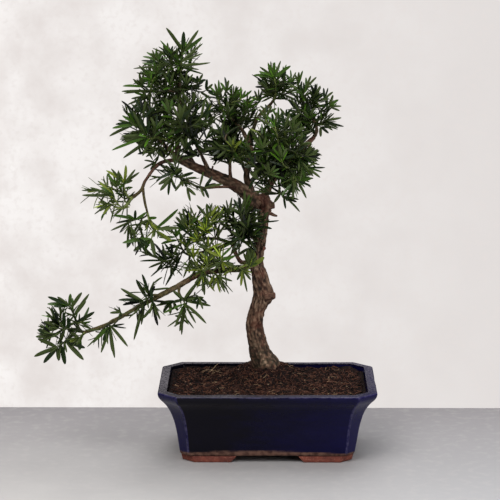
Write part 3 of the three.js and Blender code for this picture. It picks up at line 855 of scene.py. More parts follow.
@dataclass
class Wood:
    """The trunk, its boughs and the stubs of pruned branches, with the relief of their bark."""

    trunk: Limb = Limb("trunk", (18.4, 17.2, 12.4, 10.8, 10.2, 10.4, 9.9, 8.2, 6.9, 6.6, 7.4, 8.4), (
        (-2, 35, 92), (-2, 35, 97.3), (-11, 30, 125), (-17, 25, 153), (-13, 20, 179), (-7, 16, 200),
        (-10, 13, 223), (-13, 12, 239), (-9, 12, 271), (-6, 12, 290), (-7, 12, 314), (-10, 12, 330),
    ))
    knobs: Sequence[Knob] = tuple(Knob(*row) for row in (
        ((10, 12, 197), 19, 8.2), ((4, 8, 317), 9, 8.4, 0.6), ((-4, 4, 322), 6, 4.0, 0.9), ((3, 7, 308), 6, 5.6, 0.5),
        ((-13, 3, 331), 7, 4.4, 1), ((-7, 3, 328), 5, 3.6, 1), ((-2, 8, 327), 5, 3.0, 0.8),
        ((-19, 5, 326), 5, 2.6, 0.8), ((-20, 20, 262), 6, 2.2), ((-22, 18, 160), 7, 1.6), ((-8, 20, 118), 8, 1.8),
        ((-16, 5, 236), 8, 2.2), ((16, 33, 106), 14, 3.6), ((-18, 22, 118), 8, 1.6),
    ))
    boughs: Sequence[Limb] = (
        Limb("left", (9, 4.8), ((-12, 12, 318), (-35.5, 8, 339), (-61, 5, 353.3), (-87, 1, 364.8), (-117, -4, 380))),
        Limb("upright", (4.4, 2.6), ((-12, 13, 316), (-27, 17, 350), (-21, 20, 384), (-30, 18, 408))),
        Limb("right", (5, 2.4), ((-8, 12, 320), (7, 8, 350), (28, 4, 376), (53, 2, 400), (60, 1, 408)), 1.0),
        Limb("right_back", (3.2, 2.2), ((-8, 14, 324), (4, 28, 345), (14, 38, 356))),
        Limb("middle_back", (3.2, 2.2), ((-14, 15, 318), (-24, 34, 345), (-32, 44, 362))),
        Limb("apex", (3.3, 2.3), ((-115, -4, 379), (-115, -2, 402), (-113, 1, 430), (-112, 2, 460)), 0, (0.4, 1)),
        Limb("left_side", (2.7, 2), ((-106, -3, 375), (-126, -11, 392), (-138, -14, 407)), 0, (0.5, 1)),
        Limb("left_inner", (2.6, 2), ((-74, 3, 359.5), (-84, -9, 384), (-91, -15, 400))),
        Limb("left_back", (2.6, 2), ((-92, 1, 368), (-104, 18, 386), (-113, 32, 402))),
        Limb("centre_low", (2.4, 1.9), ((-47, 6, 347), (-48, 0, 361), (-48, -4, 372))),
        Limb("under", (2, 1.6), ((-29, 9, 332), (-43, 0, 341), (-60, -10, 343.5), (-82, -18, 343)), 1, (0.5, 1)),
        Limb("pendant", (2.5, 1.9), (
            (-113, -4, 378), (-137, -16, 374.5), (-154, -24, 355), (-160, -26, 342), (-172, -28, 332),
        ), 1, (0.62, 0.8)),
        Limb("pendant_low", (1.7, 1.4), ((-158, -26, 344), (-156, -26, 328), (-152, -27, 311)), 0, (-0.1, 0.2)),
        Limb("top_right", (2.7, 1.9), ((-24, 19, 396), (-13, 17, 428), (3, 14, 446)), 0, (0.1, 0.6)),
        Limb("right_front", (2.9, 2.1), ((12, 7, 357), (16, -6, 366), (16, -17, 373))),
        Limb("cascade", (4.2, 2.2), (
            (-10, 12, 240), (-38, 0, 235), (-83, -18, 233), (-118, -27, 216), (-169, -30, 189), (-204, -30, 169),
            (-234, -30, 158),
        ), 0, (0.3, 0.6)),
        Limb("loop", (3.3, 2), ((-14, 11, 247), (-32, 4, 243), (-40, 1, 253), (-46, -1, 268), (-62, -5, 275)), 1),
        Limb("trunk_spray", (2.5, 1.9), ((-10, 12, 266), (-18, 0, 276), (-25, -8, 285)), 0, (0.2, 0.8)),
        Limb("pad_left", (2.2, 1.7), ((-48, -1, 270), (-68, -8, 263), (-100, -10, 255)), 0, (-0.1, 0.3)),
        Limb("pad_low", (2.3, 1.8), ((-50, -5, 234), (-57, -14, 239), (-61, -20, 246)), 0, (-0.1, 0.3)),
        Limb("cascade_near", (1.9, 1.5), ((-112, -26, 219), (-113, -30, 211), (-109, -33, 203)), 0, (-0.1, 0.3)),
        Limb("cascade_mid", (1.9, 1.6), ((-138, -30, 206), (-144, -34, 208), (-150, -37, 207)), 0, (-0.1, 0)),
        Limb("cascade_outer", (1.7, 1.4), ((-192, -30, 176), (-199, -33, 174), (-204, -35, 170)), 0, (-0.1, 0)),
    )
    stubs: Sequence[Limb] = (
        Limb("stub", (9.5, 4.4), ((-2, 12, 197.5), (3.8, 11, 197.75), (9.6, 10, 198)), 0.7),
        Limb("stub", (2.6, 1.7), ((0, 9, 307), (6, 7.5, 305.1), (12, 6, 303.2)), 0.7),
        Limb("stub", (6.0, 4.6), ((0, 9, 316), (4.25, 8.5, 316.5), (8.5, 8, 317)), 0.7),
        Limb("stub", (2.6, 2.1), ((40, 3, 388), (42, 1, 393.5), (44, -1, 399)), 0.7),
        Limb("stub", (3.2, 2.4), ((-12, 12, 262), (-8, 7, 261.5), (-4, 2, 261)), 0.7),
        Limb("stub", (2.6, 1.8), ((-72, 2, 360), (-71, -1, 364.5), (-70, -4, 369)), 0.7),
    )
    flare_lobes: int = 3
    flare_depth: float = 0.16
    flare_top: float = 0.19
    moss_top: float = 165.0
    moss_fade: float = 45.0
    trunk_bark: Bark = Bark(84, 1.1, 1.25, 3, flare=True)
    collar: float = 0.4
    twist: float = 0.012

    def bough(self, name: str) -> Limb:
        """The bough with a name."""
        return next(limb for limb in self.boughs if limb.name == name)

    def spines(self) -> tuple[Points, Values]:
        """The middle of every limb, for leaves to keep clear of.

        Returns:
            Points along them, and the radius at each.
        """
        limbs = [self.trunk, *self.boughs]
        shares = [np.linspace(0, 1, max(4, round(limb.length / 3))) for limb in limbs]
        return (
            np.concatenate([limb.points(s) for limb, s in zip(limbs, shares)]),
            np.concatenate([limb.radius(s) for limb, s in zip(limbs, shares)]),
        )

    def _bark(self, skin: Skin, limb: Limb, bark: Bark) -> None:
        """Add one limb's bark.

        Args:
            skin: The mesh it joins.
            limb: The limb.
            bark: How its bark is laid.
        """
        sides, angles = bark.sides, round_angles(bark.sides)
        rings = max(6, round(limb.length / bark.step))
        shares = np.linspace(0, 1, rings)
        centres, radii, way = limb.points(shares), limb.radius(shares), shares * limb.length
        radii = radii * (1 + bark.collar * np.exp(-way / (1.6 * radii[0])))
        if not bark.cut and not bark.flare:
            radii = radii * np.sqrt(np.clip((limb.length - way) / 1.2 + 0.15, 0.0, 1.0))
        heading, spokes = spokes_along(centres, sides)
        relief, rise, coarse = bark.pattern(angles[None] + self.twist * way[:, None], way, float(np.mean(radii)))
        scale = np.repeat(radii[:, None], sides, axis=1)
        if bark.flare:
            ridge = np.clip(1 - shares / self.flare_top, 0, 1)[:, None]
            scale = scale * (1 + self.flare_depth * ridge * np.cos(self.flare_lobes * angles + 0.6)[None])
        surface = (centres[:, None] + spokes * scale[..., None]).reshape(-1, 3)
        red = np.full(len(surface), limb.rosy)
        for knob in self.knobs if bark.flare else ():
            swell = knob.swell(surface)
            rise = rise + knob.height * swell * (1 + 0.7 * coarse * knob.rosy)
            red = np.maximum(red, knob.rosy * np.minimum(1.0, 1.6 * swell))
        fade = 1.0 if bark.cut else np.repeat(np.clip((limb.length - way) / 3.0, 0.0, 1.0), sides)
        surface = surface + spokes.reshape(-1, 3) * (rise * fade)[:, None]
        corners = np.concatenate([surface, centres[:1], centres[-1:] + heading[-1:] * (0.0 if bark.cut else 0.3)])
        low = np.full(len(corners), 0.6)
        if bark.flare:
            low = 0.25 + 0.75 * np.clip((self.moss_top - corners[:, 2]) / self.moss_fade, 0, 1)
        ends = np.zeros(len(corners))
        faces = tube_faces(rings, sides)
        if bark.cut:
            k = np.arange(sides)
            rim, base = (rings - 1) * sides + k, len(corners)
            inner = centres[-1] + (corners[rim] - centres[-1]) * 0.86 + heading[-1] * 0.25
            corners = np.concatenate([corners, inner])
            faces[2] = np.stack([np.full(sides, rings * sides + 1), base + k, base + np.roll(k, -1)], -1)
            faces.append(np.stack([rim, np.roll(rim, -1), base + np.roll(k, -1), base + k], -1))
            ends[-1] = 1.0
            ends = np.concatenate([ends, np.ones(sides)])
            low = np.concatenate([low, np.zeros(sides)])
        spare = len(corners) - len(relief)
        start, end = limb.greening
        young = np.repeat(np.clip((shares - start) / (end - start), 0, 1), sides)
        held = ((np.clip(relief, 0, 1), 0.5), (young, young[-1]), (red, limb.rosy))
        relief, young, red = (np.concatenate([values, np.full(spare, last)]) for values, last in held)
        skin.add(corners, faces, relief=relief, moss=low, cut=ends, young=young, rosy=red)

    def build(self) -> None:
        """Make the trunk's piece and the boughs' piece."""
        finish = BarkFinish("flaking_bark").material()
        trunk, boughs = Skin(), Skin()
        self._bark(trunk, self.trunk, self.trunk_bark)
        piece = trunk.piece("trunk_bark", [finish], "bark")
        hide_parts("trunk")
        for number, limb in enumerate(self.boughs):
            thick = limb.radii[0]
            sides = int(np.clip(round(thick * 6), 14, 40))
            self._bark(boughs, limb, Bark(sides, 1.4, 0.16 + 0.08 * thick, 20 + number, collar=self.collar))
        for number, limb in enumerate(self.stubs):
            self._bark(boughs, limb, Bark(30, 0.8, 0.9, 60 + number, cut=True))
        piece = boughs.piece("bough_bark", [finish], "bark")
        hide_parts(*(f"{limb.name}_bough" for limb in self.boughs))


# ---- foliage


class Habit(Enum):
    """How a mass's shoots carry themselves: how far their ends turn up, and how far their leaves bend down."""

    RISING = (0.8, 0.12)
    SPREADING = (0.4, 0.2)
    HANGING = (-0.25, 0.35)

    @property
    def lift(self) -> float:
        """How strongly a shoot's end turns up, beside 0.8 outwards."""
        return self.value[0]

    @property
    def droop(self) -> float:
        """The most that a leaf bends along its length, in radians."""
        return self.value[1]


class Tone(Enum):
    """The leaf colours, from SHADE, a near-black painted shade for the shaded heart of the plant, to this season's
    growth.
    """

    # SHADE paints shade: near-black leaves where the foliage lies in shadow.
    SHADE = LeafFinish("leaf_shade", 6, 13, 3, 0.42)
    DEEP = LeafFinish("leaf_deep", 21, 37, 8, 0.38)
    GREEN = LeafFinish("leaf_green", 50, 76, 17, 0.36)
    OLIVE = LeafFinish("leaf_olive", 96, 108, 34, 0.38)
    BRIGHT = LeafFinish("leaf_bright", 78, 117, 30, 0.36)
    NEW = LeafFinish("leaf_new", 144, 163, 52, 0.38)
    UNDERSIDE = LeafFinish("leaf_underside", 54, 66, 28, 0.6)

    @property
    def number(self) -> int:
        """The tone's place among a piece's finishes."""
        return list(Tone).index(self)

    def lighter(self) -> Tone:
        """The next tone towards new growth."""
        return list(Tone)[min(self.number + 1, NEW.number)]

    def carried(self, dice: Dice) -> Tone:
        """The tone of the older leaves behind a shoot's end that has this tone."""
        older = (SHADE, DEEP, GREEN, OLIVE, GREEN, OLIVE)[self.number]
        return older if dice.roll() < 0.68 else list(Tone)[max(older.number - 1, 0)]


RISING, SPREADING, HANGING = Habit
SHADE, DEEP, GREEN, OLIVE, BRIGHT, NEW, UNDERSIDE = Tone


@dataclass
class Twig:
    """One twig: its line, its radius at both ends, its leaves' tone, and the listed shoot that it is."""

    line: Line
    base: float
    tip: float
    tone: Tone
    whorl: Whorl | None = None

    def at(self, way: float) -> tuple[Points, Points]:
        """Look along the twig.

        Args:
            way: How far along it.

        Returns:
            The point there, and the direction.
        """
        ahead = min(way + 0.5, self.line.length)
        here, there = self.line.at(np.array([ahead - 0.5, ahead]))
        return here, unit(there - here)


@dataclass(frozen=True)
class Leaf:
    """One leaf: where it is rooted, the way it points, its width's direction, its size, bend and tone."""

    root: Points
    along: Points
    across: Points
    length: float
    width: float
    bend: float
    tone: int

    @classmethod
    def rolled(cls, root: Points, along: Points, axis: Points, roll: float, *shape: float) -> Leaf:
        """A leaf of a length, width, bend and tone, rolled some degrees from facing along its shoot's axis."""
        across = unit(np.cross(along, axis + np.array([0.011, 0.007, 0.013])))
        return cls(root, along, turned(across[None], along[None], np.array([math.radians(roll)]))[0], *shape)


@dataclass
class Leaves:
    """Many leaves, with an array for each of their properties."""

    root: Points
    along: Points
    across: Points
    length: Values
    width: Values
    bend: Values
    tone: Indices

    @classmethod
    def of(cls, leaves: Sequence[Leaf]) -> Leaves:
        """Gather single leaves."""
        return cls(**{name: np.array([getattr(leaf, name) for leaf in leaves]) for name in cls.__dataclass_fields__})

    def kept(self, keep: Mask) -> Leaves:
        """Only the leaves that are to be kept."""
        return Leaves(**{name: values[keep] for name, values in vars(self).items()})

    def points(self, share: float) -> Points:
        """The points at a share of each leaf's length."""
        return self.root + self.along * (self.length * share)[:, None]


@dataclass
class LeafShape:
    """A strap leaf: narrow at its stalk, widest past its middle, folded a little along its midrib."""

    stations: Sequence[float] = (0.045, 0.15, 0.31, 0.49, 0.67, 0.84, 0.95)
    widths: Sequence[float] = (0.3, 0.72, 0.96, 1.0, 0.97, 0.78, 0.42)
    fold: float = 0.2
    thickness: float = 0.35
    rib: float = 0.4
    sag: float = 0.045
    sweep: float = 0.8

    def corners(self, leaves: Leaves) -> Points:
        """Shape every leaf.

        Args:
            leaves: The leaves.

        Returns:
            Their corners, as an array of leaves by corners by three.
        """
        share = np.array([*self.stations, 0.0, 1.0])
        half = np.array([*self.widths, 0.0, 0.0])
        length, bend, across = leaves.length[:, None], leaves.bend[:, None], leaves.across[:, None]
        normal = np.cross(leaves.across, leaves.along)[:, None]
        along = length * share * (1 - (bend * share) ** 2 / 6)
        sink = length * bend * share**2 / 2
        spine = leaves.root[:, None] + leaves.along[:, None] * along[..., None] - normal * sink[..., None]
        spine[..., 2] -= self.sag * length * share**2
        spine += across * (self.sweep * length * bend * share * (1 - share))[..., None]
        out = across * (leaves.width[:, None] / 2 * half)[..., None]
        rise = normal * (self.fold * leaves.width[:, None] / 2 * half)[..., None]
        stout = np.minimum(1.0, half * 3)[None, :, None]
        thick, keel = normal * (stout * self.thickness), normal * (stout * (self.thickness + self.rib))
        rings = np.stack([spine + out + rise, spine + thick / 2, spine - out + rise, spine - keel / 2], axis=2)
        rings = rings[:, : len(self.stations)].reshape(len(leaves.root), -1, 3)
        return np.concatenate([rings, spine[:, len(self.stations) :]], axis=1)

    def skin(self, leaves: Leaves) -> Skin:
        """Make the skin of many leaves, with their tones above and the underside's below.

        Args:
            leaves: The leaves.

        Returns:
            The skin.
        """
        corners = self.corners(leaves)
        starts = (np.arange(len(corners)) * corners.shape[1])[:, None, None]
        groups, finishes = [], []
        for group in tube_faces(len(self.stations), 4):
            above = np.tile([True, True, False, False], len(group) // 4)
            groups.append((group[None] + starts).reshape(-1, group.shape[1]))
            finishes.append(np.where(above[None], leaves.tone[:, None], UNDERSIDE.number).reshape(-1))
        skin = Skin()
        skin.add(corners.reshape(-1, 3), groups, np.concatenate(finishes))
        return skin


@dataclass(frozen=True)
class Whorl:
    """A listed shoot: where it ends, how far it leans right of upright, its tone, its leaves' width, where their
    tips lie beside and above its end in turn, how far back its leaves go, and its stem's radius."""

    at: Triple
    lean: float
    tone: Tone
    width: float
    tips: Sequence[float]
    leafy: float = 26.0
    stem: float = 0.85

    @property
    def aim(self) -> Points:
        """The way it points, a little towards the viewer."""
        return unit(np.array([math.sin(math.radians(self.lean)), -0.22, math.cos(math.radians(self.lean))]))


@dataclass(frozen=True)
class Clearing:
    """A gap in the foliage: a slanted oval, drawn where its sight line meets the upright plane through the pot."""

    x: float
    z: float
    half_x: float
    half_z: float
    slant: float = 0.0
    front: bool = False

    def holds(self, spots: Points) -> Mask:
        """Whether points lie in the gap, or for a gap in front of a limb, in its nearer part.

        Args:
            spots: The points, as an array whose last axis is x, y and z.

        Returns:
            One answer for each point.
        """
        seen = EYE + (spots - EYE) * (EYE[1] / (EYE[1] - spots[..., 1]))[..., None]
        x, z = seen[..., 0] - self.x, seen[..., 2] - self.z
        c, s = math.cos(math.radians(self.slant)), math.sin(math.radians(self.slant))
        inside = ((x * c + z * s) / self.half_x) ** 2 + ((z * c - x * s) / self.half_z) ** 2 < 1
        return inside & (spots[..., 1] < 8.0) if self.front else inside


@dataclass
class Spray:
    """One mass of foliage: twigs that grow on from a bough's tip, and the leaves at the ends of them."""

    name: str
    bough: str
    heart: Triple
    reach: Triple
    shoots: int
    habit: Habit
    tones: Sequence[tuple[Tone, float]]
    whorls: Sequence[Whorl] = ()
    inset: float = 14.0
    leafy: float = 26.0
    leaves: int = 19
    leaf_length: tuple[float, float] = (16.0, 27.0)
    leaf_width: tuple[float, float] = (2.4, 3.4)
    leaf_lean: tuple[float, float] = (10.0, 68.0)
    turn: float = 137.508
    detour: float = 0.3
    over: float = 1.0
    over_by_hand: float = 20.0
    clear_of_wood: float = 0.6

    STEPS = (0.8191725134, 0.6710436067, 0.5497004779)
    START = 0.37
    CANDIDATES = 12
    STEM = 0.85
    YOUNG_PART = 0.3
    BACK_GAP = 9.0
    BACK_SKIPPED = 0.4
    CROSSWISE = 0.55

    def within(self, points: Points, margin: float) -> Mask:
        """Whether points lie inside the mass's reach, less a margin."""
        local = (points - np.array(self.heart)) / (np.array(self.reach) - margin)
        return np.sum(local**2, axis=-1) < 1

    def ends(self, seed: int) -> list[Points]:
        """The ends of the shoots that fill the mass: each is the even point farthest from the ends before it.

        Args:
            seed: Where the even points start.

        Returns:
            The ends.
        """
        ends = [np.array(whorl.at, float) for whorl in self.whorls]
        nearest = self.heart[1] - (0.1 if self.whorls else 1.0) * self.reach[1]
        drawn = 0
        while len(ends) < len(self.whorls) + self.shoots:
            best, room = None, -1.0
            found = 0
            while found < self.CANDIDATES:
                drawn += 1
                shares = [(seed * self.START * (k + 1) + drawn * step) % 1 for k, step in enumerate(self.STEPS)]
                point = np.array(self.heart) + np.array(self.reach) * (2 * np.array(shares) - 1)
                if not self.within(point, self.inset) or point[1] < nearest:
                    continue
                found += 1
                space = min((float(np.linalg.norm(point - end)) for end in ends), default=1e9)
                if any(gap.holds(point) for gap in CLEARINGS):
                    space *= 0.2
                if space > room:
                    best, room = point, space
            ends.append(best)
        return ends[len(self.whorls) :]

    def grow(self, wood: Wood, seed: int) -> list[Twig]:
        """Grow the twigs: each new one leaves what has grown so far from the place nearest to its end.

        Args:
            wood: The limbs that the mass grows from.
            seed: Sets this mass's own pattern.

        Returns:
            The twigs.
        """
        dice = Dice(seed * 97 + 5)
        limb = wood.bough(self.bough)
        start, radius = limb.points(np.ones(1))[0], float(limb.radius(np.ones(1))[0])
        places = [(start - limb.heading() * 1.5, limb.heading(), 0.0, radius)]
        twigs: list[Twig] = []
        ends = [(np.array(whorl.at, float), whorl.aim, whorl) for whorl in self.whorls]
        for end in self.ends(seed):
            outward = unit((end - np.array(self.heart)) / np.array(self.reach)) * 0.8
            ends.append((end, unit(outward + np.array([0, 0, self.habit.lift])), None))
        for end, aim, whorl in ends:
            behind = end - aim * 12.0
            point, heading, way, radius = min(places, key=lambda place: float(
                np.linalg.norm(place[0] - behind) + self.detour * place[2] + max(0.0, (place[0] - end) @ aim)
            ))
            span = float(np.linalg.norm(end - point))
            t = np.linspace(0, 1, max(4, round(span / 4)))[:, None]
            out, back = point + heading * 0.3 * span, end - aim * 0.38 * span
            line = Line(point * (1 - t) ** 3 + 3 * t * (1 - t) * (out * (1 - t) + back * t) + end * t**3)
            tip = whorl.stem if whorl else self.STEM
            root = max(tip * 1.1, min(radius * 0.72, 0.9 + span * 0.014)) if way else radius
            twigs.append(Twig(line, root, tip, whorl.tone if whorl else self._tone(dice), whorl))
            for i in range(2, len(line.points) - 1, 2):
                share = i / (len(line.points) - 1)
                ahead = unit(line.points[i + 1] - line.points[i])
                places.append((line.points[i], ahead, way + share * line.length, root + (tip - root) * share))
        return twigs

    def _tone(self, dice: Dice) -> Tone:
        """Pick a shoot's tone.

        Args:
            dice: Picks it.

        Returns:
            The tone.
        """
        pick = dice.roll() * sum(weight for _, weight in self.tones)
        for tone, weight in self.tones:
            pick -= weight
            if pick <= 0:
                return tone
        return self.tones[-1][0]

    def _spiral(self, twig: Twig, dice: Dice) -> list[Leaf]:
        """The leaves of one shoot, in a spiral from its end back, close to its line there and spread out behind.

        Args:
            twig: The shoot.
            dice: Gives the small differences.

        Returns:
            The leaves.
        """
        leaves: list[Leaf] = []
        length = twig.line.length
        leafy = min(twig.whorl.leafy if twig.whorl else self.leafy, length * 0.9)
        extra = int(max(0.0, length - leafy) / self.BACK_GAP)
        phase = dice.between(0, 360)
        for k in range(self.leaves + extra):
            back = k / (self.leaves - 1)
            inner = k >= self.leaves
            if inner and dice.roll() < self.BACK_SKIPPED:
                continue
            way = length - min(1.0, back) ** 0.9 * leafy - (k - self.leaves + 1) * self.BACK_GAP * inner
            here, axis = twig.at(max(0.5, way))
            lean = self.leaf_lean[0] + (self.leaf_lean[1] - self.leaf_lean[0]) * min(1.0, back) ** 0.7
            lean = math.radians(lean + dice.between(-11, 11))
            young = 0.5 + 0.5 * min(1.0, back / self.YOUNG_PART)
            size = dice.between(*self.leaf_length) * young
            side = unit(np.cross(np.array([0.31, 0.17, 0.93]), axis))
            turn = math.radians(phase + k * self.turn + dice.between(-12, 12))
            outward = turned(side[None], axis[None], np.array([turn]))[0]
            if twig.whorl and back > self.YOUNG_PART and abs(outward[1]) < self.CROSSWISE:
                continue
            along = unit(axis * math.cos(lean) + outward * math.sin(lean))
            roll = dice.between(-65, 65)
            bend = dice.between(-0.12, 1.0) * self.habit.droop
            tone = twig.tone
            if back > self.YOUNG_PART:
                tone = tone.carried(dice)
            elif not twig.whorl and dice.roll() < 0.5:
                tone = tone.lighter()
            width = dice.between(*self.leaf_width) * young
            leaves.append(Leaf.rolled(here, along, axis, roll, size, width, bend, tone.number))
        return leaves

    def _fan(self, twig: Twig, dice: Dice) -> list[Leaf]:
        """The leaves of a listed shoot whose tips are given.

        Args:
            twig: The shoot.
            dice: Gives the small differences.

        Returns:
            The leaves.
        """
        leaves: list[Leaf] = []
        whorl, end = twig.whorl, twig.line.points[-1]
        aim = unit(whorl.aim * np.array([1, 0, 1]))
        for x, z in zip(whorl.tips[::2], whorl.tips[1::2]):
            offset = np.array([x, 0.0, z])
            along = float(offset @ aim)
            aside = float(np.linalg.norm(offset - aim * along))
            back = min(max(0.0, 0.35 * aside - along), whorl.leafy, twig.line.length * 0.9)
            here = twig.at(twig.line.length - back)[0]
            tip = end + offset
            reach = float(np.linalg.norm(tip - here))
            sight = tip - EYE
            tip = tip + sight * (dice.between(-0.3, 0.3) * reach / sight[1])
            tip[2] += LeafShape.sag * reach
            size = float(np.linalg.norm(tip - here))
            facing = unit(np.cross(sight, tip - here))
            roll = dice.between(48, 90) * (1 if dice.roll() < 0.5 else -1)
            width = whorl.width * dice.between(0.8, 1.05)
            bend, tone = dice.between(-0.1, 0.16), twig.tone.carried(dice)
            leaves.append(Leaf.rolled(here, unit(tip - here), facing, roll, size, width, bend, tone.number))
        return leaves

    def leaf_out(self, twigs: Sequence[Twig], seed: int, wood: Wood) -> Leaves:
        """Set every twig's leaves, but leave out those that run into a limb, close a gap, or leave the mass or the box.

        Args:
            twigs: The twigs to dress.
            seed: Sets this mass's own pattern.
            wood: The limbs to keep clear of.

        Returns:
            The leaves that stay, those whose tips are given first.
        """
        dice = Dice(seed * 131 + 11)
        given = [leaf for twig in twigs if twig.whorl for leaf in self._fan(twig, dice)]
        leaves = Leaves.of(given + [leaf for twig in twigs for leaf in self._spiral(twig, dice)])
        by_hand = np.arange(len(leaves.root)) < len(given)
        corners = LeafShape().corners(leaves)
        low, high = PLACE.limits(0.4)
        keep = np.all((corners > low) & (corners < high), axis=(1, 2))
        tips = leaves.points(1.0)
        keep &= np.where(by_hand, self.within(tips, -self.over_by_hand), self.within(tips, -self.over))
        spots = np.stack([leaves.points(share) for share in (0.25, 0.45, 0.65, 0.85, 1.0)], 1)
        spine, radius = wood.spines()
        for k in range(spots.shape[1]):
            apart = np.linalg.norm(spots[:, k, None] - spine[None], axis=2) - radius[None]
            keep &= apart.min(axis=1) > self.clear_of_wood
        for gap in CLEARINGS:
            keep &= by_hand | ~np.any(gap.holds(spots), axis=1)
        return leaves.kept(keep)


@dataclass
class Foliage:
    """All the masses of foliage, and the young wood that carries them."""

    green_twig: TwigFinish = TwigFinish("twig_green", colour(74, 84, 44), colour(112, 122, 62))
    brown_twig: TwigFinish = TwigFinish("twig_brown", colour(58, 48, 34), colour(92, 74, 52))
    dark_twig: TwigFinish = TwigFinish("twig_dark", colour(30, 36, 18), colour(52, 58, 28))
    green_length: float = 42.0
    sides: int = 6
    ring_gap: float = 2.4
    knuckle: float = 0.1
    leaf_crease: float = 38.0

    def _twigs(self, twigs: Sequence[Twig]) -> Skin:
        """Make the skin of a mass's twigs, green towards their ends and brown behind, with knuckles that swell and
        narrow along them.

        Args:
            twigs: The twigs.

        Returns:
            The skin.
        """
        skin = Skin()
        for number, twig in enumerate(twigs):
            length = twig.line.length
            rings = max(5, round(length / self.ring_gap))
            shares = np.linspace(0, 1, rings)
            radii = twig.base + (twig.tip - twig.base) * shares
            radii = radii * (1 + self.knuckle * np.sin(np.arange(rings) * 2.4 + number))
            radii[-1] *= 0.5
            # Where the shoot's leaves are dark the green end takes the dark finish; for the SHADE tone this is painted
            # shade.
            young = 2 if twig.tone in (SHADE, DEEP, GREEN) else 0
            band = np.where((1 - shares[:-1]) * length > self.green_length, 1, young)
            finish = np.repeat([*band, band[0], band[0]], self.sides)
            skin.add(tube(twig.line.at(shares * length), radii, self.sides), tube_faces(rings, self.sides), finish)
        return skin

    def build(self, wood: Wood) -> None:
        """Make each mass's leaves and twigs.

        Args:
            wood: The limbs that the masses grow from.
        """
        tones = [tone.value.material() for tone in Tone]
        twig_skins = [finish.material() for finish in (self.green_twig, self.brown_twig, self.dark_twig)]
        total = 0
        for seed, spray in enumerate(SPRAYS, start=1):
            twigs = spray.grow(wood, seed)
            leaves = spray.leaf_out(twigs, seed, wood)
            total += len(leaves.root)
            blades = LeafShape().skin(leaves).piece(f"{spray.name}_leaves", tones, "leaf", self.leaf_crease)
            stems = self._twigs(twigs).piece(f"{spray.name}_twigs", twig_skins, "bark")
            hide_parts(f"{spray.name}_foliage")
            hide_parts(f"{spray.name}_foliage")
        LOG.info("foliage: %d leaves", total)


# The tone mixes that the masses deal from: SHADED, and MIXED in part, deal SHADE, a painted shade for masses at the
# back and in the heart; SUNLIT leans to lighter tones, a painted light; YOUNG holds the colours of new growth.
SUNLIT = ((DEEP, 0.25), (GREEN, 0.4), (OLIVE, 0.25), (BRIGHT, 0.1))
MIXED = ((SHADE, 0.2), (DEEP, 0.4), (GREEN, 0.33), (BRIGHT, 0.07))
SHADED = ((SHADE, 0.28), (DEEP, 0.44), (GREEN, 0.28))
YOUNG = ((GREEN, 0.3), (OLIVE, 0.45), (BRIGHT, 0.25))


def whorls(*rows: tuple) -> tuple[Whorl, ...]:
    """Listed shoots, from a row of properties for each."""
    return tuple(Whorl(*row) for row in rows)


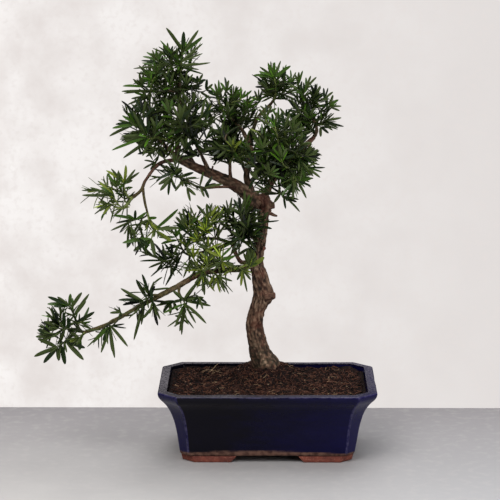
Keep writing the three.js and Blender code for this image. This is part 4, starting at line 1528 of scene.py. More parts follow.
SPRAYS: tuple[Spray, ...] = (
    Spray("apex", "apex", (-124, 2, 494), (54, 50, 58), 20, RISING, MIXED, whorls(
        ((-107, -6, 515), 10, BRIGHT, 5.4, (-22, 30, 1, 26, 20, 28, 25, 19, -9, 16, 11, 14)),
        ((-110, -26, 504), 7, GREEN, 3.2,
         (-25, 28, -27, 20, -35, 18, 29, 24, 41, 16, 29, 11, 38, 0, 24, -1, 24, -9, 29, -15)),
        ((-138, -26, 507), 0, GREEN, 3.4, (-19, 5, -21, 0, -20, -4, -31, -11, -9, 9, -2, 13, 5, 8, -14, 10)),
        ((-124, -27, 511), -3, DEEP, 3.8, (-7, 15, -1, 18, 5, 14, 9, 6)),
        ((-160, -12, 474), -14, GREEN, 3.4, (-10, 8, -2, 15, 3, 14, -23, -1, -25, -8, -22, -10, 9, 10)),
        ((-147, -23, 483), -25, BRIGHT, 3.4, (-2, 11, -9, 8, 4, 13, 9, 9)),
        ((-139, -26, 491), -7, BRIGHT, 3.6, (-9, 11, -4, 15, 5, 14, 10, 9, -11, 1)),
        ((-88, -14, 478), 9, DEEP, 3.6, (6, 10, -1, 8, -8, 6, 10, 3)),
        ((-78, 2, 466), 36, DEEP, 3.6, (8, 8, 1, 14, 10, -3, 6, -11)),
        ((-103, -22, 476), 6, DEEP, 3.8, (-7, 15, 1, 18, 9, 13)),
        ((-154, -8, 459), -30, GREEN, 3.4, (-19, -3, -23, -10, -15, 5, -9, 10, -19, -17)),
        ((-123, -26, 477), 0, GREEN, 3.6, (-9, 15, -2, 18, 6, 15)),
    )),
    Spray("left_shoulder", "left_side", (-160, -14, 422), (50, 48, 53), 13, RISING, MIXED, whorls(
        ((-153, -42, 413), -39, BRIGHT, 4.6,
         (-23, 37, -16, 33, -31, 0, -29, -8, -43, -18, -29, -28, -4, -25, -7, 25, 5, 20)),
        ((-167, -42, 428), -50, GREEN, 4.2, (-28, -5, -32, -16, -20, 6, -24, 0, -15, 11, -7, 15)),
        ((-140, -40, 422), -6, GREEN, 3.8, (-7, 15, 1, 19, 9, 13)),
        ((-126, -29, 409), 8, BRIGHT, 4.2, (9, 11, -7, 10, 3, 13)),
        ((-144, -34, 394), -48, DEEP, 4.6, (-16, 4, -20, -5, -9, 11)),
        ((-143, -14, 375), -119, DEEP, 3.4, (-14, 3, -15, -8, -6, -9)),
        ((-156, -41, 442), -18, DEEP, 3.8, (-11, 19, -4, 20, 4, 16, -15, 11)),
    )),
    Spray("left_heart", "left_inner", (-103, -24, 431), (46, 46, 50), 18, RISING, SHADED, whorls(
        ((-109, -51, 435), -4, DEEP, 3.8, (-10, 18, -2, 21, 6, 19, 14, 14)),
        ((-83, -48, 437), 20, DEEP, 3.8, (5, 24, 13, 20, 18, 14, 9, -8)),
        ((-123, -46, 444), -5, GREEN, 3.6, (-10, 14, -4, 19, 4, 16)),
        ((-95, -47, 411), 7, SHADE, 4.0, (-10, 13, -2, 18, 8, 13)),
        ((-77, -40, 410), 21, DEEP, 3.6, (8, 15, 13, 9, 10, -4, -5, 15)),
        ((-128, -24, 389), -36, DEEP, 3.8, (-8, 9, -2, 13, 6, 11, -10, 1)),
        ((-103, -41, 398), 0, DEEP, 3.8, (-6, 13, 1, 15, 9, 11)),
        ((-79, -24, 389), 9, SHADE, 3.6, (-8, 10, 1, 13, 8, 6)),
        ((-97, -24, 387), -12, SHADE, 4.4, (-10, 6, -2, 11, 8, 8, 11, -1, -13, -3)),
        ((-131, -24, 383), -45, SHADE, 4.0, (-9, 8, -1, 10, 8, 8)),
    )),
    Spray("left_back", "left_back", (-124, 50, 432), (54, 46, 60), 20, RISING, SHADED),
    Spray("under", "under", (-111, -34, 362), (52, 38, 36), 4, SPREADING, SHADED, whorls(
        ((-121, -56, 362), 165, DEEP, 4.6, (-14, 0, -16, -8, -14, -16, -4, -22, 15, 13, 6, -15), 24),
        ((-101, -54, 350), 147, DEEP, 4.0, (-15, -5, 4, -18, -9, 4, -2, 16, 8, 19, 11, -10)),
        ((-79, -46, 349), 85, DEEP, 4.0, (-16, 4, -2, 20, 14, 5, 23, 3, 5, -14, -1, -13, 10, 14)),
    )),
    Spray("pendant", "pendant", (-194, -30, 339), (50, 37, 43), 4, SPREADING, YOUNG, whorls(
        ((-185, -39, 320), -104, OLIVE, 3.4, (-6, -6, -10, 3), 6, 2.4),
        ((-181, -40, 353), 9, NEW, 4.0,
         (3, 23, -16, 19, -22, 17, -7, 15, 14, 18, 20, 14, 11, 4, -20, 6, 11, -5)),
        ((-196, -41, 338), -34, OLIVE, 4.0, (-16, 17, -15, 11, -28, 10, -38, 0, -7, 9), 13),
        ((-191, -41, 348), -20, GREEN, 3.8, (-11, 18, -4, 20, 4, 22, 8, 14, -7, 8, 15, 8), 18),
        ((-203, -40, 326), -67, NEW, 3.6, (-11, 3, -13, -5, -11, -9, -5, -13, -8, -18), 13),
    ), leaves=12, leaf_width=(2.0, 3.0)),
    Spray("pendant_low", "pendant_low", (-160, -32, 287), (52, 36, 38), 3, HANGING, SUNLIT, whorls(
        ((-176, -41, 298), 162, GREEN, 3.8,
         (-23, -5, -19, 14, -1, 15, 9, 21, -3, -28, 6, -26, 23, 18, -16, 4), 14),
        ((-141, -42, 292), 159, OLIVE, 6.4, (29, 28, 30, 4, 20, -13), 3, 1.2),
        ((-147, -42, 282), -158, OLIVE, 6.0, (-23, -15, -37, -5, 5, -22, -8, -14), 3, 1.2),
        ((-150, -41, 304), 168, OLIVE, 4.6, (-4, -9, 10, 5, -10, -3, 9, -13), 8),
        ((-164, -43, 283), 139, DEEP, 3.8, (-13, -12, 10, -18, 4, -18, 15, -10)),
    ), leaves=12),
    Spray("centre_top", "upright", (-48, 14, 438), (46, 50, 46), 15, RISING, MIXED, whorls(
        ((-63, -9, 460), 0, BRIGHT, 3.6, (-10, 11, -4, 16, 1, 20, 8, 13, -13, 4)),
        ((-52, -9, 466), 0, GREEN, 3.6, (-2, 18, 3, 14, 8, 9, -8, 11)),
        ((-43, -12, 460), 12, GREEN, 3.4, (4, 13, 8, 9)),
        ((-33, -11, 457), -11, BRIGHT, 3.4, (-8, 14, -1, 15, 5, 10, 13, 10)),
        ((-26, -11, 447), -5, GREEN, 3.2, (9, 9, -5, 9, 13, 3)),
        ((-12, 6, 452), 0, GREEN, 3.2, (-10, 5, -5, 13, 0, 15, 5, 13, 11, 8)),
        ((-74, -8, 442), -22, DEEP, 3.6, (-10, 11, -4, 14, 4, 13)),
        ((-50, -16, 440), -9, DEEP, 3.6, (-9, 10, -1, 14, 8, 11)),
    )),
    Spray("middle_back", "middle_back", (-38, 60, 398), (52, 42, 54), 16, RISING, SHADED),
    Spray("right_top", "top_right", (14, 8, 468), (43, 42, 40), 9, RISING, MIXED, whorls(
        ((8, -15, 484), -14, BRIGHT, 4.2,
         (-18, 14, -8, 18, 0, 20, 9, 21, 21, 15, -26, 3, -19, 8, 13, 10, -5, 14)),
        ((-2, -15, 472), -27, DEEP, 3.4, (-11, 6, -14, 0, -6, 10)),
        ((20, -16, 480), -15, DEEP, 3.4, (-5, 11, 2, 15)),
        ((29, -14, 478), 0, GREEN, 3.2, (-6, 10, 0, 16, 6, 13)),
    )),
    Spray("right_side", "right", (56, 0, 444), (44, 46, 46), 12, RISING, MIXED, whorls(
        ((39, -13, 475), 7, GREEN, 3.2, (-5, 13, 0, 16, 5, 18)),
        ((48, -21, 471), 26, GREEN, 3.4, (0, 14, 6, 16, 14, 14)),
        ((59, -25, 462), 25, DEEP, 3.6, (-5, 13, 1, 15, 7, 13)),
        ((71, -24, 458), 35, DEEP, 3.6, (-1, 14, 5, 14, 11, 9)),
        ((78, -22, 449), 40, GREEN, 3.8, (4, 14, 15, 0, 13, -6, 10, 8)),
        ((73, -22, 430), 50, DEEP, 3.8, (20, 4, 15, -9, 9, -13, 23, -8)),
        ((52, -26, 434), 8, GREEN, 3.6, (-9, 11, -1, 18, 7, 13)),
        ((37, -24, 446), -12, DEEP, 3.4, (-10, 9, -4, 14)),
        ((67, -20, 422), 128, DEEP, 3.8, (13, -1, 10, -8, 0, -13, -10, -5)),
        ((45, -23, 465), 13, GREEN, 3.6, (-6, 11, 0, 14, 6, 9, -10, 4)),
    )),
    Spray("right_front", "right_front", (13, -38, 385), (62, 48, 61), 28, RISING, MIXED, whorls(
        ((9, -57, 428), -13, BRIGHT, 3.8, (-11, 14, -4, 16, 2, 18, 11, 11, -9, 2)),
        ((-3, -44, 435), -15, BRIGHT, 3.6, (-8, 13, -1, 15, 6, 13, -10, 4)),
        ((21, -58, 426), 7, DEEP, 4.8, (20, 18, 6, 19, -4, 20)),
        ((31, -58, 422), 10, GREEN, 3.6, (-6, 15, 2, 18, 11, 13, 15, 4)),
        ((51, -58, 389), 107, DEEP, 4.0, (12, 10, 15, 3, 10, -6, 5, 14)),
        ((47, -60, 376), 115, GREEN, 3.8, (25, 0, 21, -5, 15, 6, 19, -13, 10, -11)),
        ((38, -59, 359), 143, GREEN, 3.8, (17, 3, 16, -6, 10, -22, 20, 11)),
        ((32, -59, 355), 150, BRIGHT, 3.6, (-1, -20, -9, -22, 9, -10, -15, -15)),
        ((17, -67, 389), 15, BRIGHT, 3.6, (-11, 13, -3, 16, 7, 13, 16, 4)),
        ((-7, -64, 401), -14, GREEN, 3.6, (-11, 11, -4, 16, 5, 15, 11, 9)),
        ((-17, -61, 378), -38, DEEP, 3.8, (-11, 11, -7, 18, 1, 15, -12, -1)),
        ((3, -64, 369), 9, GREEN, 3.6, (-11, 13, -3, 16, 7, 11)),
        ((24, -38, 334), 97, DEEP, 3.8, (16, -18, -1, -14, 13, -5, -4, 10), 8),
        ((12, -38, 340), 66, DEEP, 3.6, (-8, 8, 4, 8, 11, -1, -4, -12), 8),
        ((-15, -59, 361), -28, SHADE, 3.8, (-7, 10, 0, 15, 7, 11, -6, -1)),
        ((13, -49, 436), -11, GREEN, 3.6, (-8, 13, 0, 15, 7, 10)),
        ((0, -38, 442), -9, DEEP, 3.6, (-10, 9, -3, 11, 5, 9, 11, 6)),
        ((23, -38, 438), 8, DEEP, 3.6, (-8, 10, 0, 9, 7, 10, 11, 4)),
        ((41, -60, 406), 41, DEEP, 3.8, (10, 10, 2, 15, 14, 1)),
    )),
    Spray("right_back", "right_back", (28, 58, 384), (60, 44, 60), 22, RISING, SHADED),
    Spray("centre_low", "centre_low", (-54, -12, 397), (41, 46, 40), 16, RISING, SHADED, whorls(
        ((-44, -38, 398), -21, OLIVE, 3.4, (-11, 10, -5, 15, 3, 15, 11, 9)),
        ((-31, -32, 394), -4, BRIGHT, 3.2, (-6, 11, 1, 14, 9, 9)),
        ((-59, -36, 415), -26, DEEP, 3.6, (-13, 8, -6, 14, 3, 15, -11, -5)),
        ((-22, -12, 417), 160, DEEP, 3.8, (10, -14, 15, -4, 3, -19, -5, -15)),
        ((-64, -38, 398), -48, DEEP, 3.6, (-13, 8, -14, -3, -6, -10)),
    )),
    Spray("trunk", "trunk_spray", (-34, -22, 300), (38, 42, 48), 18, RISING, SHADED, whorls(
        ((-34, -46, 317), -19, DEEP, 3.8, (-9, 17, -1, 20, 6, 18, -14, 6)),
        ((-26, -46, 297), -17, DEEP, 3.8, (-11, 10, -5, 17, 4, 18)),
        ((-29, -43, 325), -21, GREEN, 3.6, (0, 20, 6, 15)),
        ((-7, -12, 299), 19, DEEP, 3.6, (22, 1, 8, 13, 13, -9)),
        ((-35, -44, 284), -30, DEEP, 3.6, (-11, 9, -8, 15, -11, -3)),
        ((-24, -4, 263), -164, SHADE, 4.0, (-3, -13, 4, -14, -15, -9, -6, 7, 6, -5), 8),
    )),
    Spray("pad_top", "loop", (-86, -12, 298), (47, 46, 42), 10, RISING, YOUNG, whorls(
        ((-102, -36, 293), -8, DEEP, 3.8, (-5, 28, -10, 24, -14, 17, -16, 10, 1, 24)),
        ((-98, -38, 301), -3, NEW, 3.4, (8, 15, 1, 14, 11, 9)),
        ((-75, -38, 308), -6, OLIVE, 3.6, (-15, 17, -2, 19, 5, 20, 13, 17, -9, 9)),
        ((-79, -39, 294), -12, NEW, 3.8, (-9, 12, -2, 17, 6, 13, -15, 0)),
        ((-63, -34, 308), 12, NEW, 3.0, (-5, 13, 1, 15, 8, 10)),
        ((-49, -19, 310), 0, NEW, 3.4, (-3, 19, 4, 22, 9, 13, -8, 13)),
        ((-88, -34, 279), -26, NEW, 3.6, (-10, 10, -4, 15, -11, 0)),
    ), leaf_width=(2.1, 3.0)),
    Spray("pad_low", "pad_low", (-66, -26, 241), (50, 46, 44), 11, SPREADING, YOUNG, whorls(
        ((-22, -30, 244), 14, NEW, 5.0, (-8, 19, -3, 23, 1, 25, 5, 22, 9, 14)),
        ((-59, -51, 261), -4, NEW, 4.0,
         (-33, 1, -18, 8, 14, 13, 18, 1, 19, -13, -23, -18, -11, -19, 4, -18), 10),
        ((-82, -42, 236), 167, NEW, 3.8, (-1, -22, 6, -17, -20, -31, 2, -27, 15, -22, -9, -18), 10),
        ((-64, -42, 234), 139, OLIVE, 3.2, (-5, -17, 4, -22, 10, -21, 20, -6, -11, -12), 12),
        ((-31, -32, 240), 136, OLIVE, 3.6, (-3, -21, 6, -29, -27, -7, 10, -13, -8, -13), 8),
        ((-94, -44, 258), -12, NEW, 3.6, (-8, 15, 0, 19, 8, 14)),
        ((-75, -52, 254), 9, NEW, 3.4, (-9, 13, -2, 15, 6, 12)),
        ((-75, -43, 272), -5, OLIVE, 3.6, (-16, 6, -9, 12, 0, 14, 9, 12, 18, 5, -13, 1)),
        ((-21, -12, 241), 29, NEW, 6.0, (0, 25, -5, 17, 5, 18, 17, 12, -8, 5, 8, 4), 8),
    ), leaf_width=(2.1, 3.0)),
    Spray("pad_left", "pad_left", (-128, -10, 250), (49, 42, 40), 7, SPREADING, MIXED, whorls(
        ((-117, -16, 280), -31, GREEN, 3.8, (-8, 12, -1, 14, 6, 12, -22, -1, -19, -9, -14, -16)),
        ((-130, -23, 250), -60, DEEP, 3.6,
         (-31, 12, -33, 0, -20, 16, -14, 23, -22, -9, -19, -21, 0, -33, -4, 22), 26),
        ((-122, -22, 256), -47, DEEP, 4.0, (-1, 17, -9, 17, 10, 17, -15, 8)),
        ((-104, -18, 268), -14, OLIVE, 3.4, (-10, 10, -6, 17, 8, 13)),
    ), leaves=14),
    Spray("cascade_near", "cascade_near", (-106, -37, 193), (46, 38, 41), 1, SPREADING, SHADED, whorls(
        ((-124, -42, 199), -135, DEEP, 4.7, (-22, 3, -18, -4, -9, -12, 0, -14, 10, -10)),
        ((-87, -42, 207), 158, DEEP, 3.5, (-3, -16, 5, -16, 10, -8, -9, -8), 10),
        ((-105, -43, 198), 176, GREEN, 4.7,
         (33, -3, 25, 8, -28, -12, -12, -30, -7, -35, 27, -26, 14, -25, -15, 17, -25, 0, 13, 26), 8),
    ), leaves=12),
    Spray("cascade_mid", "cascade_mid", (-160, -38, 202), (42, 36, 46), 3, SPREADING, SHADED, whorls(
        ((-157, -43, 201), -100, DEEP, 5.0,
         (-30, 18, -24, 9, -33, 3, -28, -4, -10, 29, -2, 36, 14, 21, -14, -50, -4, -30), 10),
        ((-144, -43, 195), -180, DEEP, 4.7, (4, -26, -4, 25, 7, -18, -14, -16), 8),
    ), leaves=12),
    Spray("cascade_outer", "cascade_outer", (-206, -36, 164), (34, 32, 38), 1, HANGING, MIXED, whorls(
        ((-201, -39, 167), -127, GREEN, 5.0,
         (-9, -18, -5, -21, -23, -21, 23, -26, 6, -41, -12, -34, 3, -33), 14),
        ((-187, -37, 186), -90, DEEP, 3.5, (-9, 5, -14, -1, -3, -8), 8),
    ), leaves=11),
    Spray("cascade_tip", "cascade", (-261, -30, 164), (46, 38, 53), 6, SPREADING, MIXED, whorls(
        ((-253, -36, 194), -37, GREEN, 5.0,
         (-27, 12, -15, 12, -28, 3, -20, -1, 2, 16, 17, 18, 26, 16, 22, 7, 32, -8), 24),
        ((-267, -38, 165), -71, DEEP, 5.9, (-3, 21, 7, 21, -10, 17, -18, 10, -22, 8, -22, -3, 13, 14)),
        ((-278, -37, 155), -82, DEEP, 5.4, (-16, 8, -18, -1, -7, 12, -12, -9)),
        ((-269, -36, 139), -119, GREEN, 6.4,
         (-32, 7, -30, -12, -18, -20, 2, -17, 10, -22, -25, 12, 36, 0, 34, -16), 14),
        ((-241, -36, 152), -111, OLIVE, 6.4, (-12, -5, 1, -16, -11, 7)),
    ), leaves=16),
)

CLEARINGS: tuple[Clearing, ...] = tuple(Clearing(*row) for row in (
    (-118, 439, 3.2, 7.7), (-110, 437, 1.9, 5.2), (-83, 445, 1.7, 9.0, -38), (-70, 442, 1.5, 4.5),
    (-81, 409, 4.5, 5.8), (-66, 422, 4.5, 5.8), (-66, 406, 2.6, 2.6), (-35, 419, 5.2, 4.5), (-27, 413, 5.2, 4.5),
    (-16, 420, 2.6, 4.5), (19, 450, 7.7, 4.4, 15), (37, 450, 2.6, 2.6), (22, 433, 2.6, 5.8, 20), (-3, 450, 2.6, 2.6),
    (61, 416, 1.9, 2.6), (39, 397, 1.9, 3.2), (-147, 448, 2.3, 2.3), (-157, 427, 3.9, 4.5), (-79, 374, 7.1, 4.5),
    (-51, 369, 10.3, 8.4, -20), (-75, 348, 20.6, 3.4, -5), (13, 339, 8.4, 5.8), (-33, 353, 2.6, 3.9),
    (-33, 326, 1.9, 5.2), (-58, 282, 5.2, 7.1), (-30, 255, 4.5, 10.3), (-134, 321, 12.9, 31.0), (-71, 329, 33.5, 6.5),
    (-109, 255, 3.9, 9.0), (-77, 236, 4.5, 3.2), (-64, 236, 3.2, 4.5), (-50, 257, 4.5, 2.3), (-121, 273, 6.5, 2.6),
    (-41, 306, 3.2, 3.2), (-63, 494, 9.0, 16.8), (-160, 517, 12.9, 15.5), (-146, 528, 11.6, 6.5),
    (-136, 536, 5.8, 11.6), (-122, 533, 11.6, 10.3), (-96, 538, 5.2, 5.2), (-81, 517, 5.2, 10.3),
    (-21, 474, 7.7, 15.5, 20), (19, 503, 5.2, 5.2), (46, 489, 7.7, 3.9), (71, 478, 7.7, 4.5, 30),
    (-85, 492, 9.0, 15.5), (-73, 471, 5.2, 6.5), (-49, 478, 21.9, 4.5), (32, 493, 11.6, 4.5, 25),
    (63, 484, 11.6, 5.8, 25), (84, 466, 7.7, 11.6), (93, 438, 5.2, 16.8), (70, 405, 10.3, 15.5),
    (-193, 438, 9.0, 16.8, 15), (-175, 457, 9.0, 10.3), (-179, 391, 14.2, 10.3, -20), (-159, 375, 10.3, 6.5),
    (-152, 244, 10.3, 9.0), (-151, 230, 12.9, 5.2), (-147, 269, 10.3, 6.5), (-34, 219, 15.5, 10.3),
    (-72, 198, 15.5, 10.3), (-175, 222, 9.0, 11.6), (-93, 311, 5.2, 7.7), (-112, 334, 11.6, 6.5),
    (-166, 316, 6.5, 11.6), (-218, 169, 7.7, 7.7), (69, 468, 2.1, 2.1), (-29, 462, 2.6, 7.7),
    (-74, 359, 41.3, 6.2, -26, True), (-27, 356, 3.4, 15.5, 0, True), (-10, 325, 10.3, 9.0, 0, True),
))


# ---- pot


@dataclass
class GlazedPot:
    """The pot: an ogee wall with cut corners, a square lip, and a bare band where the glaze stops."""

    height: float = 90.0
    underside: float = POT_UNDERSIDE
    wall: float = 12.0
    floor: float = 15.0
    depth_loss: float = 45.0
    profile: Pairs = (
        (111, 4.5), (113, 11), (115.4, 26), (118, 41), (121.3, 54), (124.6, 63), (128.2, 69.6), (132.2, 74.8),
        (136.2, 79), (138.9, 83), (140, 87),
    )
    lip: float = 140.0
    lip_foot: float = 76.0
    edge: float = 2.4
    cut: tuple[float, float] = (10.5, 24.0)
    corner_radius: float = 3.4
    arc: int = 5
    spans: Sequence[int] = (8, 26, 8, 18, 8, 26, 8, 18)
    blue_from: float = -70.0
    blue_to: float = 160.0
    crease: float = 50.0
    grain: Grain = Grain(7)
    wander: float = 0.55
    sag: float = 0.5
    glaze_line: float = 4.4
    glaze_arch: float = 2.6

    def outline(self, half: float, inside: float = 0.0) -> Points:
        """The pot's plan where its outer wall has a half width.

        Args:
            half: The outer wall's half width.
            inside: How far inside the outer wall the outline lies.

        Returns:
            The outline's points.
        """
        share = (half - self.profile[0][0]) / (self.lip - self.profile[0][0])
        leg = self.cut[0] + (self.cut[1] - self.cut[0]) * share - (2 - math.sqrt(2)) * inside
        w, d = half - inside, half - self.depth_loss - inside
        corners = (
            (-w, -d + leg), (-w + leg, -d), (w - leg, -d), (w, -d + leg),
            (w, d - leg), (w - leg, d), (-w + leg, d), (-w, d - leg),
        )
        return rounded_outline(corners, self.corner_radius, self.arc, self.spans)

    def rows(self) -> list[tuple[float, float, float, float]]:
        """The wall's section, from the middle of the underside round to the middle of the floor.

        Returns:
            For each row its outer wall's half width, how far inside that it lies, its height, and how much of an edge
            it is.
        """
        foot = self.profile[0][0]
        rows = [(foot, inside, self.underside, 0.0) for inside in (40.0, 1.6)]
        rows += [(foot, 0.5, self.underside + 0.4, 0.3)]
        rows += [(float(w), 0.0, float(z), 0.0) for w, z in smooth_curve(np.array(self.profile), 5)[1:]]
        e = self.edge
        turns = np.linspace(0, math.pi / 2, 6)
        rows += [(self.lip, e - e * math.cos(a), self.height - e + e * math.sin(a), math.sin(2 * a)) for a in turns]
        rows += [(self.lip, x, self.height - 0.1, 0.12) for x in (4.4, 6.6)]
        rows += [(self.lip, self.wall - e * math.cos(a), self.height - e + e * math.sin(a), math.sin(2 * a))
                 for a in turns[::-1]]
        rows += [(w, self.wall, z, 0.0) for w, z in ((139.0, 82.0), (129.0, 72.0), (118.0, 41.0), (114.0, self.floor))]
        return [*rows, (114.0, 50.0, self.floor, 0.0)]

    def _stations(self, count: int) -> tuple[Values, Values]:
        """Which corners of a ring lie on an arc, and which on a cut corner's facet.

        Args:
            count: The ring's number of corners.

        Returns:
            1 or 0 for each corner, for the arcs and for the facets.
        """
        steps = self.arc + 1
        on_arc, facet = np.zeros(count), np.zeros(count)
        start = 0
        for i, span in enumerate(self.spans):
            end = start + steps + span - 1
            on_arc[start : start + steps] = 1.0
            if i % 2 == 0:
                facet[start : end + steps] = 1.0
            start = end
        return on_arc, facet

    def _marks(self, corners: Points, inside: Values, edge: Values, sides: int) -> dict[str, Values]:
        """What the glaze's finish reads from the mesh.

        Args:
            corners: The corners, ring by ring.
            inside: How far inside the outer wall each was drawn.
            edge: How much of an edge each is.
            sides: The number of corners of a ring.

        Returns:
            The values for each corner, by name.
        """
        on_arc, facet = (np.tile(values, len(corners) // sides) for values in self._stations(sides))
        heights, within, level = corners[:, 2], inside > self.wall - 1, corners * np.array([1, 1, 0])
        line = self.underside + self.glaze_line + 1.0 * self.grain.at(level / 24.0) + 0.5 * self.grain.at(level / 6.0)
        line += self.glaze_arch * np.exp(-((corners[:, 0] + 20) / 62.0) ** 4)
        bare = np.where(within, 1.0, np.clip((line - heights) / 0.9 + 0.5, 0, 1)) * (heights < 30)
        chalky = np.clip((heights - self.height + 1.5) / 1.2, 0, 1) * (inside < self.wall + 1)
        chalky = chalky * (0.78 + 0.0024 * corners[:, 1] - 0.0014 * corners[:, 0])
        # How much of an edge each corner is, for the paler wash that is partly the glaze breaking and partly a painted
        # highlight.
        edge = np.clip(edge * 0.7 + on_arc * np.where(heights < self.lip_foot, 0.8, 0.3), 0, 1)
        # The facet mask places the painted light on the cut-corner facets; the inner mask places the painted shade
        # inside the wall.
        facet, inner = facet * (inside < 1), within * (1 - chalky)
        return {"edge": edge, "facet": facet, "bare": bare, "top": chalky, "inner": inner}

    def build(self) -> None:
        """Make the pot's piece."""
        rows = self.rows()
        plans = [self.outline(half, inside) for half, inside, _, _ in rows]
        sides = len(plans[0])
        inside, heights, edge = (np.repeat([row[k] for row in rows], sides) for k in (1, 2, 3))
        corners = np.column_stack([np.concatenate(plans), heights])
        moved = self.wander * (self.grain.rough(corners / 34.0, 2) + 1.0) * (inside <= self.wall - 1)
        corners = corners + unit(-corners * np.array([1.0, 1.6, 0.0])) * moved[:, None]
        corners[:, 2] -= self.sag * (1 + self.grain.at(corners / 27.0 + 9)) * (corners[:, 2] > self.height - 3)
        marks = self._marks(corners, inside, edge, sides)
        marks = {name: np.concatenate([values, [0.0, 0.0]]) for name, values in marks.items()}
        corners = np.concatenate([corners, [[0, 0, rows[0][2]], [0, 0, rows[-1][2]]]])
        skin = Skin()
        skin.add(corners, tube_faces(len(rows), sides), **marks)
        ends = (PLACE.origin[0] + x * MM for x in (self.blue_from, self.blue_to))
        piece = skin.piece("pot_glazed", [GlazeFinish("navy_glaze", *ends).material()], "glaze", self.crease)
        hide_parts("pot")


@dataclass
class ClayFeet:
    """The four feet: low blocks of bare clay that narrow towards the table, cut across at the pot's corners."""

    inner: float = 39.0
    outer: float = 110.5
    front: float = 65.7
    back: float = 25.7
    cut: float = 15.0
    slope: float = 7.5
    top: float = 4.2
    middle: tuple[float, float] = (74.0, 45.0)
    corner_radius: float = 1.4
    arc: int = 3
    spans: Sequence[int] = (18, 5, 8, 12, 10)
    wear: float = 0.35
    crease: float = 50.0
    insets: Pairs = (
        (0.0, 0.9), (0.04, 0.4), (0.1, 0.1), (0.35, 0.0), (0.6, 0.0), (0.85, 0.0), (1.0, 0.15),
    )

    def _foot(self, side_x: int, side_y: int, grain: Grain) -> tuple[Points, list[Indices]]:
        """The corners and faces of one foot.

        Args:
            side_x: 1 for the right, -1 for the left.
            side_y: 1 for the back, -1 for the front.
            grain: Roughens it.

        Returns:
            The corners and the faces.
        """
        rows = []
        for share, inset in self.insets:
            inner = self.inner + self.slope * (1 - share) + inset
            outer = self.outer - self.slope / 4 * (1 - share) - inset
            front, back = self.front - inset, self.back + inset
            plan = [(inner, back), (outer, back), (outer, front - self.cut), (outer - self.cut, front), (inner, front)]
            ring = rounded_outline(plan, self.corner_radius, self.arc, self.spans)
            rows.append(raised(ring, TABLE + share * (self.top - TABLE)))
        corners = np.concatenate([*rows, [[*self.middle, TABLE]], [[*self.middle, self.top]]])
        outward = unit((corners - np.array([*self.middle, 0.0])) * np.array([1, 1, 0]))
        corners = corners - outward * np.abs(self.wear * grain.rough(corners / 9.0, 2))[:, None]
        faces = tube_faces(len(rows), len(rows[0]))
        if side_x * side_y < 0:
            faces = [group[:, ::-1] for group in faces]
        return corners * np.array([side_x, side_y, 1.0]), faces

    def build(self) -> None:
        """Make one piece for each foot."""
        finish = ClayFinish("fired_clay").material()
        for depth, side_y in (("front", -1), ("back", 1)):
            for hand, side_x in (("left", -1), ("right", 1)):
                skin = Skin()
                skin.add(*self._foot(side_x, side_y, Grain(30 + side_x + 3 * side_y)))
                piece = skin.piece(f"clay_foot_{depth}_{hand}", [finish], "clay", self.crease)
                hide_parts(f"pot_foot_{depth}_{hand}")


# ---- soil


